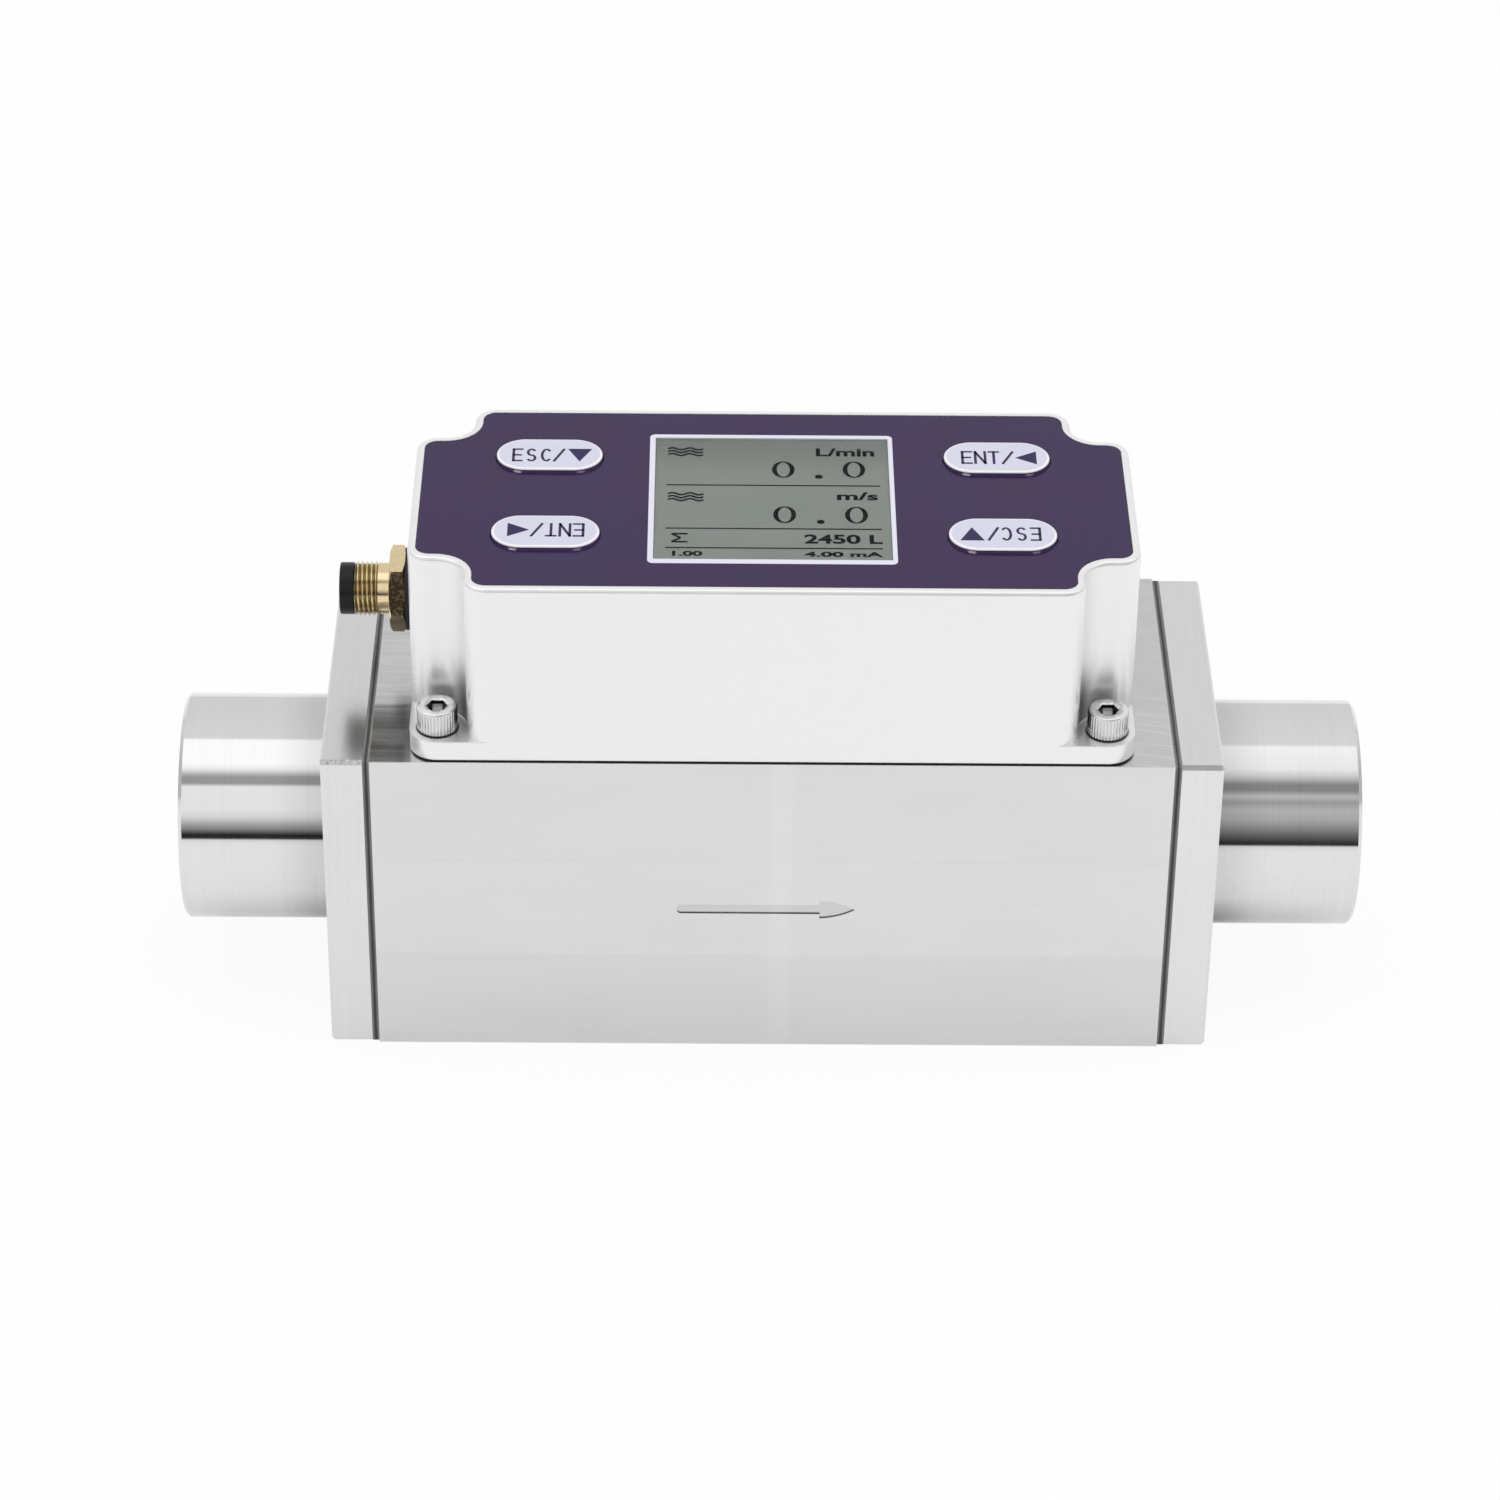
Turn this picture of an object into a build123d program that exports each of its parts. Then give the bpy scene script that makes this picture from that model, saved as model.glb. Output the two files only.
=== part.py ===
# Gas flow meter. A square steel block carries a round threaded boss at each end, and an
# electronics case on its top holds the display, four keys and the cable connector.
# Lengths are millimetres. X runs with the flow from inlet to outlet, Y to the back and Z up.
# The origin lies in the plane that the block stands on, under its middle.

import math
import os

from build123d import *

# Body block and flow bore
block_width = 75.0
block_height = block_width
block_past_case = 8.5
bore_height = block_height / 2
bore_radius = 16.0

# End fittings: a square plate with a round boss, and a parallel pipe thread in the boss
plate_thickness = 9.0
plate_long_chamfer = 0.85
plate_face_chamfer = 0.5
boss_radius = 25.0
boss_length = 33.0
boss_chamfer = 0.8
pipe_thread_radius = 20.955
pipe_thread_length = 20.0
pipe_thread_chamfer = 1.2

# Seams between the block and the plates
seam_gap = 1.5
seam_recess = 0.3

# Engraved flow arrow on the front face
arrow_left = -20.3
arrow_shaft_length = 31.0
arrow_head_length = 7.7
arrow_shaft_width = 2.3
arrow_head_width = 4.6
arrow_height = 36.8
arrow_depth = 0.35
arrow_end_round = 0.9
arrow_head_bulge = 0.55

# Flow screen, spacer ring and straightener in the inlet end of the block
conditioner_radius = 18.0
conditioner_clearance = 0.1
conditioner_depth = 14.0
straightener_thickness = 10.0
straightener_cell = 3.8
straightener_wall = 0.6
screen_thickness = 0.8
screen_hole_radius = 0.95
screen_pitch = 2.8
open_radius = 15.0

# Flow sensor in the top of the block
sensor_flange_length = 36.0
sensor_flange_width = 26.0
sensor_flange_thickness = 4.0
sensor_flange_round = 4.0
sensor_clearance = 0.1
sensor_shank_radius = 7.9
sensor_shank_short = 1.0
sensor_blade_width = 13.0
sensor_blade_thickness = 3.0
sensor_blade_past_axis = 5.0
sensor_board_thickness = 1.0
sensor_board_width = 9.0
sensor_board_tip = 2.0
sensor_window = 6.0
chip_side = 2.6
chip_thickness = 0.4
sensor_ring_section = 0.8
sensor_ring_groove = 1.6
sensor_ring_drop = 6.0
sensor_screw_pitch = 27.0
sensor_screw_length = 9.0

# Electronics case
case_length = 155.0
case_side_gap = 0.25
case_width = block_width - 2 * case_side_gap
block_length = case_length + 2 * block_past_case
case_height = 43.0
case_gasket_thickness = 0.5
case_gasket_inset = 0.4
flange_thickness = 4.5
flange_round = 6.0
case_wall = 3.0
case_top_thickness = 2.5
notch_radius = 6.3
corner_round = 4.7
rim_round = 0.9
panel_inset = 1.7
panel_recess = 0.6
panel_thickness = 0.4
panel_clearance = 0.1
smallest_round = 0.6

# Display
display_x = -0.3
display_y = 0.6
window_length = 50.6
window_width = 49.8
window_clearance = 0.05
lcd_length = 53.0
lcd_width = 52.0
lcd_thickness = 2.2
lcd_clearance = 0.3
holder_wall = 2.0
holder_floor = 1.5
backlight_clearance = 0.1

# Keys and their switches
key_length = 23.0
key_width = 12.6
key_towards_display = 3.5
key_side_gap = 21.45
key_centre_y = 0.85
key_proud = 1.0
key_edge_round = 0.25
key_clearance = 0.3
key_lip = 1.0
key_lip_thickness = 0.8
key_lip_gap = 0.3
key_foot_radius = 2.2
key_foot_height = 0.3
key_stroke = 0.5
switch_side = 6.2
switch_floor = 1.2
plunger_radius = 1.75
plunger_length = 2.0
plunger_clearance = 0.08
switch_stop_gap = 0.4

# Circuit boards
board_thickness = 1.6
display_board_end_gap = 14.5
display_board_side_gap = 4.25
board_gap_below_top = 5.4
main_board_end_gap = 19.5
main_board_side_gap = 6.25
spacer_length = 16.0
spacer_across_flats = 5.5
spacer_stud_length = 5.6
spacer_lcd_gap = 4.6
spacer_edge_gap = 8.0
pillar_radius = 3.0
board_hole_radius = 1.7

# Parts on the main board
controller_side = 14.0
controller_thickness = 1.6
controller_x = -18.0
capacitor_radius = 4.0
capacitor_height = 9.0
capacitor_end_gap = 15.0
capacitor_pitch = 12.0
inductor_side = 12.0
inductor_height = 6.0
inductor_gap = 12.0
sensor_socket_length = 14.0
sensor_socket_width = 5.0
sensor_socket_height = 4.0
ribbon_width = 8.0
ribbon_thickness = 0.3
ribbon_lap = 4.0
ribbon_insert = 2.0
ribbon_free_length = 4.8
output_socket_length = 6.0
output_socket_width = 10.0
output_socket_height = 6.0
lead_length = 11.0

# Cable connector in the left wall of the case
connector_height = 19.5
connector_thread_radius = 6.0
connector_thread_length = 5.3
connector_neck_radius = 5.6
connector_neck_length = 2.6
connector_hex = 16.7
connector_hex_thickness = 3.4
connector_hex_turn = 5.0
connector_seal_radius = 9.0
connector_seal_thickness = 1.8
connector_shank_length = 9.5
connector_bore_radius = 4.7
connector_clearance = 0.1
lock_nut_thickness = 4.0
insert_collar_radius = 5.65
insert_collar_length = 3.0
insert_collar_round = 0.3
insert_recess_radius = 4.2
insert_recess_depth = 8.0
insert_end_past_shell = 2.0
pin_radius = 0.5
pin_circle_radius = 2.75
pin_set_back = 1.2
pin_tail = 2.0
lead_radius = 0.6

# Screws: shank radius, head radius, head height, socket across flats and socket depth
m5 = {"shank": 2.5, "head": 4.36, "height": 5.0, "socket": 4.0, "depth": 2.5}
m3 = {"shank": 1.5, "head": 2.75, "height": 3.0, "socket": 2.5, "depth": 1.3}
case_m5 = {**m5, "height": 5.7}
low_m3 = {"shank": 1.5, "head": 2.75, "height": 2.2, "socket": 2.0, "depth": 1.1}
screw_head_chamfer = 0.4
screw_hole_clearance = 0.25
thread_clearance = 0.05
hole_past_screw = 1.0
end_bolt_margin = 12.0
end_bolt_length = 16.0
end_bolt_sink = 0.4
case_screw_length = 16.0
board_screw_length = 6.0

# Planes and places that several pieces share
block_end = block_length / 2
plate_inner = block_end + seam_gap
plate_outer = plate_inner + plate_thickness
boss_end = plate_outer + boss_length
case_base = block_height + case_gasket_thickness
case_rim = case_base + case_height
panel_floor = case_rim - panel_recess
panel_top = panel_floor + panel_thickness
case_ceiling = panel_floor - case_top_thickness
case_screw_x = case_length / 2 - flange_round
case_screw_y = case_width / 2 - flange_round
display_board_top = case_ceiling - board_gap_below_top
display_board_base = display_board_top - board_thickness
main_board_top = display_board_base - spacer_length
main_board_base = main_board_top - board_thickness
connector_z = case_base + connector_height
case_side = case_length / 2
cavity_length = case_length - 2 * case_wall
cavity_width = case_width - 2 * case_wall
display_board_length = cavity_length - 2 * display_board_end_gap
display_board_width = cavity_width - 2 * display_board_side_gap
main_board_length = cavity_length - 2 * main_board_end_gap
main_board_width = cavity_width - 2 * main_board_side_gap
capacitor_x = main_board_length / 2 - capacitor_end_gap
inductor_x = capacitor_x - capacitor_radius - inductor_gap - inductor_side / 2
spacer_x = lcd_length / 2 + spacer_lcd_gap
spacer_y = main_board_width / 2 - spacer_edge_gap
key_x = (lcd_length + case_length) / 4 - key_towards_display
key_y = case_width / 2 - key_side_gap

end_bolt_y = block_width / 2 - end_bolt_margin
end_bolt_spots = [
    (y, z) for y in (-end_bolt_y, end_bolt_y) for z in (end_bolt_margin, block_height - end_bolt_margin)
]
case_screw_spots = [
    (x, y) for x in (-case_screw_x, case_screw_x) for y in (-case_screw_y, case_screw_y)
]
spacer_spots = [(x, y) for x in (-spacer_x, spacer_x) for y in (-spacer_y, spacer_y)]
key_spots = [(x, key_centre_y + y) for x in (-key_x, key_x) for y in (key_y, -key_y)]


def case_outline(inset):
    """Draws the case's plan inside the outer wall by the inset, with a notch round each screw."""
    side = case_length / 2 - inset
    front = case_width / 2 - inset
    notch = notch_radius + inset
    corner = max(corner_round - inset, smallest_round)
    slant = math.sqrt(0.5)
    with BuildLine() as outline:
        start = (side, 0)
        turn_1 = (side, case_screw_y - notch - corner)
        middle_1 = (side - corner * (1 - slant), case_screw_y - notch - corner * (1 - slant))
        end_1 = (side - corner, case_screw_y - notch)
        turn_2 = (case_screw_x, case_screw_y - notch)
        middle_2 = (case_screw_x - notch * slant, case_screw_y - notch * slant)
        end_2 = (case_screw_x - notch, case_screw_y)
        turn_3 = (case_screw_x - notch, front - corner)
        middle_3 = (case_screw_x - notch - corner * (1 - slant), front - corner * (1 - slant))
        end_3 = (case_screw_x - notch - corner, front)
        Line(start, turn_1)
        ThreePointArc(turn_1, middle_1, end_1)
        Line(end_1, turn_2)
        ThreePointArc(turn_2, middle_2, end_2)
        Line(end_2, turn_3)
        ThreePointArc(turn_3, middle_3, end_3)
        Line(end_3, (0, front))
        mirror(about=Plane.YZ)
        mirror(about=Plane.XZ)
    make_face(outline.edges())


def hex_spots(pitch, limit):
    """Lists the points of a triangular grid that lie within the limit from its middle."""
    reach = math.ceil(limit / pitch) + 1
    rows = range(-2 * reach, 2 * reach + 1)
    grid = [((i + j / 2) * pitch, j * pitch * math.sqrt(0.75)) for i in rows for j in rows]
    return [spot for spot in grid if math.hypot(*spot) <= limit]


def socket_screws(seat, spots, screw, length):
    """Makes a group of socket screws whose heads sit on the seat plane."""
    with BuildPart() as screws:
        with BuildSketch(seat):
            with Locations(*spots):
                Circle(screw["head"])
        extrude(amount=screw["height"])
        rims = screws.edges().filter_by(GeomType.CIRCLE)
        chamfer(rims.group_by(Axis(seat.origin, seat.z_dir))[-1], screw_head_chamfer)
        with BuildSketch(seat):
            with Locations(*spots):
                Circle(screw["shank"])
        extrude(amount=-length)
        with BuildSketch(seat.offset(screw["height"])):
            with Locations(*spots):
                RegularPolygon(screw["socket"] / 2, 6, major_radius=False)
        extrude(amount=-screw["depth"], mode=Mode.SUBTRACT)
    return screws.part


os.makedirs("parts", exist_ok=True)

# Body block: bore, conditioner seat, sensor seat, screw holes and the engraved arrow
end_bolt_reach = end_bolt_length - (plate_outer - block_end) + m5["height"] + end_bolt_sink
end_bolt_hole_depth = end_bolt_reach + hole_past_screw
case_screw_hole_depth = case_screw_length - flange_thickness - case_gasket_thickness + hole_past_screw
sensor_pocket_floor = block_height - sensor_flange_thickness
sensor_hole_radius = sensor_shank_radius + sensor_clearance
sensor_screw_hole_depth = sensor_screw_length - sensor_flange_thickness + hole_past_screw
tapped_m5 = m5["shank"] + thread_clearance
tapped_m3 = m3["shank"] + thread_clearance
front_face = Plane(origin=(0, -block_width / 2, 0), x_dir=(1, 0, 0), z_dir=(0, -1, 0))

with BuildPart() as body_block:
    with BuildSketch(Plane.YZ.offset(-block_end)):
        with Locations((0, block_height / 2)):
            Rectangle(block_width, block_height)
    extrude(amount=block_length)
    with BuildSketch(Plane.YZ.offset(-block_end)):
        with Locations((0, bore_height)):
            Circle(bore_radius)
    extrude(amount=block_length, mode=Mode.SUBTRACT)
    with BuildSketch(Plane.YZ.offset(-block_end)):
        with Locations((0, bore_height)):
            Circle(conditioner_radius)
    extrude(amount=conditioner_depth, mode=Mode.SUBTRACT)
    with BuildSketch(Plane.YZ.offset(-block_end)):
        with Locations(*end_bolt_spots):
            Circle(tapped_m5)
    extrude(amount=end_bolt_hole_depth, mode=Mode.SUBTRACT)
    with BuildSketch(Plane.YZ.offset(block_end)):
        with Locations(*end_bolt_spots):
            Circle(tapped_m5)
    extrude(amount=-end_bolt_hole_depth, mode=Mode.SUBTRACT)
    with BuildSketch(Plane.XY.offset(block_height)):
        with Locations(*case_screw_spots):
            Circle(tapped_m5)
    extrude(amount=-case_screw_hole_depth, mode=Mode.SUBTRACT)
    with BuildSketch(Plane.XY.offset(block_height)):
        RectangleRounded(sensor_flange_length, sensor_flange_width, sensor_flange_round)
    extrude(amount=-sensor_flange_thickness, mode=Mode.SUBTRACT)
    with BuildSketch(Plane.XY.offset(sensor_pocket_floor)):
        Circle(sensor_hole_radius)
    extrude(amount=bore_height - sensor_pocket_floor, mode=Mode.SUBTRACT)
    with BuildSketch(Plane.XY.offset(sensor_pocket_floor)):
        with Locations((-sensor_screw_pitch / 2, 0), (sensor_screw_pitch / 2, 0)):
            Circle(tapped_m3)
    extrude(amount=-sensor_screw_hole_depth, mode=Mode.SUBTRACT)
    # The arrow is a straight shaft with rounded left corners and a head with bulging sides
    with BuildSketch(front_face) as arrow_sketch:
        with BuildLine():
            neck = arrow_left + arrow_shaft_length
            tip = neck + arrow_head_length
            low_shaft = arrow_height - arrow_shaft_width / 2
            high_shaft = arrow_height + arrow_shaft_width / 2
            low_head = arrow_height - arrow_head_width / 2
            high_head = arrow_height + arrow_head_width / 2
            halfway = (neck + tip) / 2
            Polyline((neck, low_head), (neck, low_shaft), (arrow_left, low_shaft))
            Line((arrow_left, low_shaft), (arrow_left, high_shaft))
            Polyline((arrow_left, high_shaft), (neck, high_shaft), (neck, high_head))
            high_bulge = (high_head + arrow_height) / 2 + arrow_head_bulge
            low_bulge = (low_head + arrow_height) / 2 - arrow_head_bulge
            ThreePointArc((neck, high_head), (halfway, high_bulge), (tip, arrow_height))
            ThreePointArc((tip, arrow_height), (halfway, low_bulge), (neck, low_head))
        make_face()
        fillet(arrow_sketch.vertices().group_by(Axis.X)[0], arrow_end_round)
    extrude(amount=-arrow_depth, mode=Mode.SUBTRACT)
body_block.part.label = "body_block"
export_step(body_block.part, "parts/body_block.step")

# Outlet end fitting: plate, boss, pipe thread bore and counterbored bolt holes
with BuildPart() as outlet_fitting:
    with BuildSketch(Plane.YZ.offset(plate_inner)):
        with Locations((0, block_height / 2)):
            Rectangle(block_width, block_height)
    extrude(amount=plate_thickness)
    chamfer(outlet_fitting.edges().filter_by(Axis.X), plate_long_chamfer)
    chamfer(outlet_fitting.faces().sort_by(Axis.X)[-1].edges(), plate_face_chamfer)
    with BuildSketch(Plane.YZ.offset(plate_outer)):
        with Locations((0, bore_height)):
            Circle(boss_radius)
    extrude(amount=boss_length)
    chamfer(outlet_fitting.faces().sort_by(Axis.X)[-1].edges(), boss_chamfer)
    with BuildSketch(Plane.YZ.offset(plate_inner)):
        with Locations((0, bore_height)):
            Circle(bore_radius)
    extrude(amount=plate_thickness + boss_length, mode=Mode.SUBTRACT)
    with BuildSketch(Plane.YZ.offset(boss_end)):
        with Locations((0, bore_height)):
            Circle(pipe_thread_radius)
    extrude(amount=-pipe_thread_length, mode=Mode.SUBTRACT)
    mouth = outlet_fitting.faces().sort_by(Axis.X)[-1].inner_wires()[0]
    chamfer(mouth.edges(), pipe_thread_chamfer)
    with BuildSketch(Plane.YZ.offset(plate_inner)):
        with Locations(*end_bolt_spots):
            Circle(m5["shank"] + screw_hole_clearance)
    extrude(amount=plate_thickness, mode=Mode.SUBTRACT)
    with BuildSketch(Plane.YZ.offset(plate_outer)):
        with Locations(*end_bolt_spots):
            Circle(m5["head"] + screw_hole_clearance)
    extrude(amount=-(m5["height"] + end_bolt_sink), mode=Mode.SUBTRACT)
outlet_fitting.part.label = "outlet_fitting"
export_step(outlet_fitting.part, "parts/outlet_fitting.step")

# Inlet end fitting: the same piece, turned to the other end
with BuildPart() as inlet_fitting:
    mirror(outlet_fitting.part, about=Plane.YZ)
inlet_fitting.part.label = "inlet_fitting"
export_step(inlet_fitting.part, "parts/inlet_fitting.step")

# Seam gaskets, a little smaller than the plates
with BuildPart() as outlet_gasket:
    with BuildSketch(Plane.YZ.offset(block_end)):
        with Locations((0, block_height / 2)):
            Rectangle(block_width - 2 * seam_recess, block_height - 2 * seam_recess)
        with Locations((0, bore_height)):
            Circle(conditioner_radius, mode=Mode.SUBTRACT)
        with Locations(*end_bolt_spots):
            Circle(m5["shank"] + screw_hole_clearance, mode=Mode.SUBTRACT)
    extrude(amount=seam_gap)
outlet_gasket.part.label = "outlet_gasket"
export_step(outlet_gasket.part, "parts/outlet_gasket.step")

with BuildPart() as inlet_gasket:
    mirror(outlet_gasket.part, about=Plane.YZ)
inlet_gasket.part.label = "inlet_gasket"
export_step(inlet_gasket.part, "parts/inlet_gasket.step")

# End bolts, sunk in the plates' counterbores
outlet_bolt_seat = Plane.YZ.offset(plate_outer - m5["height"] - end_bolt_sink)
outlet_bolts = socket_screws(outlet_bolt_seat, end_bolt_spots, m5, end_bolt_length)
outlet_bolts.label = "outlet_bolts"
export_step(outlet_bolts, "parts/outlet_bolts.step")

with BuildPart() as inlet_bolts:
    mirror(outlet_bolts, about=Plane.YZ)
inlet_bolts.part.label = "inlet_bolts"
export_step(inlet_bolts.part, "parts/inlet_bolts.step")

# Flow conditioner in the inlet: straightener on the shoulder, then spacer ring and screen
conditioner_plug_radius = conditioner_radius - conditioner_clearance
straightener_face = -block_end + conditioner_depth
screen_face = -plate_inner + conditioner_clearance
spacer_face = screen_face + screen_thickness
spacer_thickness = straightener_face - straightener_thickness - spacer_face

with BuildPart() as flow_straightener:
    with BuildSketch(Plane.YZ.offset(straightener_face - straightener_thickness)):
        with Locations((0, bore_height)):
            Circle(conditioner_plug_radius)
            with Locations(*hex_spots(straightener_cell + straightener_wall, open_radius)):
                cell_radius = straightener_cell / 2
                RegularPolygon(cell_radius, 6, major_radius=False, rotation=30, mode=Mode.SUBTRACT)
    extrude(amount=straightener_thickness)
flow_straightener.part.label = "flow_straightener"
export_step(flow_straightener.part, "parts/flow_straightener.step")

with BuildPart() as spacer_ring:
    with BuildSketch(Plane.YZ.offset(spacer_face)):
        with Locations((0, bore_height)):
            Circle(conditioner_plug_radius)
            Circle(bore_radius, mode=Mode.SUBTRACT)
    extrude(amount=spacer_thickness)
spacer_ring.part.label = "spacer_ring"
export_step(spacer_ring.part, "parts/spacer_ring.step")

with BuildPart() as flow_screen:
    with BuildSketch(Plane.YZ.offset(screen_face)):
        with Locations((0, bore_height)):
            Circle(conditioner_plug_radius)
            with Locations(*hex_spots(screen_pitch, open_radius)):
                Circle(screen_hole_radius, mode=Mode.SUBTRACT)
    extrude(amount=screen_thickness)
flow_screen.part.label = "flow_screen"
export_step(flow_screen.part, "parts/flow_screen.step")

# Sensor carrier: flange in the pocket, shank down to the bore and a blade into the flow
blade_bottom = bore_height - sensor_blade_past_axis
shank_bottom = bore_height + bore_radius - sensor_shank_short
board_slot_width = sensor_board_width + 2 * sensor_clearance
board_slot_thickness = sensor_board_thickness + 2 * sensor_clearance
ring_groove_z = sensor_pocket_floor - sensor_ring_drop
ring_groove_half = sensor_ring_section + sensor_clearance

with BuildPart() as sensor_carrier:
    with BuildSketch(Plane.XY.offset(sensor_pocket_floor)):
        flange_length = sensor_flange_length - 2 * sensor_clearance
        flange_width = sensor_flange_width - 2 * sensor_clearance
        RectangleRounded(flange_length, flange_width, sensor_flange_round - sensor_clearance)
    extrude(amount=sensor_flange_thickness)
    with BuildSketch(Plane.XY.offset(shank_bottom)):
        Circle(sensor_shank_radius)
    extrude(amount=sensor_pocket_floor - shank_bottom)
    with BuildSketch(Plane.XY.offset(blade_bottom)):
        SlotOverall(sensor_blade_width, sensor_blade_thickness)
    extrude(amount=shank_bottom - blade_bottom)
    with BuildSketch(Plane.XY.offset(ring_groove_z - ring_groove_half)):
        Circle(sensor_shank_radius)
        Circle(sensor_shank_radius - sensor_ring_groove, mode=Mode.SUBTRACT)
    extrude(amount=2 * ring_groove_half, mode=Mode.SUBTRACT)
    with BuildSketch(Plane.XY.offset(blade_bottom + sensor_board_tip)):
        Rectangle(board_slot_width, board_slot_thickness)
    extrude(amount=block_height - blade_bottom - sensor_board_tip, mode=Mode.SUBTRACT)
    with BuildSketch(Plane.XZ.offset(-sensor_blade_thickness)):
        with Locations((0, bore_height)):
            Rectangle(sensor_window, sensor_window)
    extrude(amount=2 * sensor_blade_thickness, mode=Mode.SUBTRACT)
    with BuildSketch(Plane.XY.offset(sensor_pocket_floor)):
        with Locations((-sensor_screw_pitch / 2, 0), (sensor_screw_pitch / 2, 0)):
            Circle(m3["shank"] + screw_hole_clearance)
    extrude(amount=sensor_flange_thickness, mode=Mode.SUBTRACT)
sensor_carrier.part.label = "sensor_carrier"
export_step(sensor_carrier.part, "parts/sensor_carrier.step")

with BuildPart() as sensor_oring:
    with BuildSketch(Plane.XZ):
        with Locations((sensor_shank_radius - sensor_ring_section, ring_groove_z)):
            Circle(sensor_ring_section)
    revolve(axis=Axis.Z)
sensor_oring.part.label = "sensor_oring"
export_step(sensor_oring.part, "parts/sensor_oring.step")

# Sensor board in the carrier's slot, with the sensing chip in the blade's window
board_tip = blade_bottom + sensor_board_tip
socket_base = main_board_base - sensor_socket_height
board_head = socket_base - ribbon_free_length
with BuildPart() as sensor_board:
    with BuildSketch(Plane.XY.offset(board_tip)):
        Rectangle(sensor_board_width, sensor_board_thickness)
    extrude(amount=board_head - board_tip)
sensor_board.part.label = "sensor_board"
export_step(sensor_board.part, "parts/sensor_board.step")

with BuildPart() as sensor_chip:
    with BuildSketch(Plane.XZ.offset(sensor_board_thickness / 2)):
        with Locations((0, bore_height)):
            Rectangle(chip_side, chip_side)
    extrude(amount=chip_thickness)
sensor_chip.part.label = "sensor_chip"
export_step(sensor_chip.part, "parts/sensor_chip.step")

sensor_screw_spots = [(-sensor_screw_pitch / 2, 0), (sensor_screw_pitch / 2, 0)]
sensor_screw_seat = Plane.XY.offset(block_height)
sensor_screws = socket_screws(sensor_screw_seat, sensor_screw_spots, m3, sensor_screw_length)
sensor_screws.label = "sensor_screws"
export_step(sensor_screws, "parts/sensor_screws.step")

# Electronics case: flange, notched walls, panel recess, cavity, openings and inner pillars
lcd_opening_length = lcd_length + 2 * lcd_clearance
lcd_opening_width = lcd_width + 2 * lcd_clearance
key_opening_length = key_length + 2 * key_clearance
key_opening_width = key_width + 2 * key_clearance
pillar_hole_depth = spacer_stud_length - board_thickness + thread_clearance
connector_hole_radius = connector_thread_radius + connector_clearance

with BuildPart() as electronics_case:
    with BuildSketch(Plane.XY.offset(case_base)):
        case_outline(0)
    extrude(amount=case_height)
    rim = electronics_case.faces().sort_by(Axis.Z)[-1].outer_wire()
    fillet(rim.edges(), rim_round)
    with BuildSketch(Plane.XY.offset(case_base)):
        RectangleRounded(case_length, case_width, flange_round)
    extrude(amount=flange_thickness)
    with BuildSketch(Plane.XY.offset(panel_floor)):
        case_outline(panel_inset)
    extrude(amount=panel_recess, mode=Mode.SUBTRACT)
    with BuildSketch(Plane.XY.offset(case_base)):
        case_outline(case_wall)
    extrude(amount=case_ceiling - case_base, mode=Mode.SUBTRACT)
    with BuildSketch(Plane.XY.offset(case_ceiling)):
        with Locations((display_x, display_y)):
            Rectangle(lcd_opening_length, lcd_opening_width)
        with Locations(*key_spots):
            SlotOverall(key_opening_length, key_opening_width)
    extrude(amount=case_top_thickness, mode=Mode.SUBTRACT)
    with BuildSketch(Plane.XY.offset(display_board_top)):
        with Locations(*spacer_spots):
            Circle(pillar_radius)
    extrude(amount=board_gap_below_top)
    with BuildSketch(Plane.XY.offset(display_board_top)):
        with Locations(*spacer_spots):
            Circle(tapped_m3)
    extrude(amount=pillar_hole_depth, mode=Mode.SUBTRACT)
    with BuildSketch(Plane.XY.offset(case_base)):
        with Locations(*case_screw_spots):
            Circle(m5["shank"] + screw_hole_clearance)
    extrude(amount=flange_thickness, mode=Mode.SUBTRACT)
    with BuildSketch(Plane.YZ.offset(-case_side)):
        with Locations((0, connector_z)):
            Circle(connector_hole_radius)
    extrude(amount=case_wall, mode=Mode.SUBTRACT)
electronics_case.part.label = "electronics_case"
export_step(electronics_case.part, "parts/electronics_case.step")

with BuildPart() as case_gasket:
    with BuildSketch(Plane.XY.offset(block_height)):
        gasket_length = case_length - 2 * case_gasket_inset
        gasket_width = case_width - 2 * case_gasket_inset
        RectangleRounded(gasket_length, gasket_width, flange_round - case_gasket_inset)
        with Locations(*case_screw_spots):
            Circle(m5["shank"] + screw_hole_clearance, mode=Mode.SUBTRACT)
    extrude(amount=case_gasket_thickness)
    with BuildSketch(Plane.XY.offset(block_height)):
        case_outline(case_wall)
    extrude(amount=case_gasket_thickness, mode=Mode.SUBTRACT)
case_gasket.part.label = "case_gasket"
export_step(case_gasket.part, "parts/case_gasket.step")

case_screw_seat = Plane.XY.offset(case_base + flange_thickness)
case_screws = socket_screws(case_screw_seat, case_screw_spots, case_m5, case_screw_length)
case_screws.label = "case_screws"
export_step(case_screws, "parts/case_screws.step")

# Front panel: a thin sheet let into the top of the case, and the clear window in it
with BuildPart() as front_panel:
    with BuildSketch(Plane.XY.offset(panel_floor)):
        case_outline(panel_inset + panel_clearance)
    extrude(amount=panel_thickness)
    with BuildSketch(Plane.XY.offset(panel_floor)):
        with Locations((display_x, display_y)):
            Rectangle(window_length, window_width)
        with Locations(*key_spots):
            SlotOverall(key_opening_length, key_opening_width)
    extrude(amount=panel_thickness, mode=Mode.SUBTRACT)
front_panel.part.label = "front_panel"
export_step(front_panel.part, "parts/front_panel.step")

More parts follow.
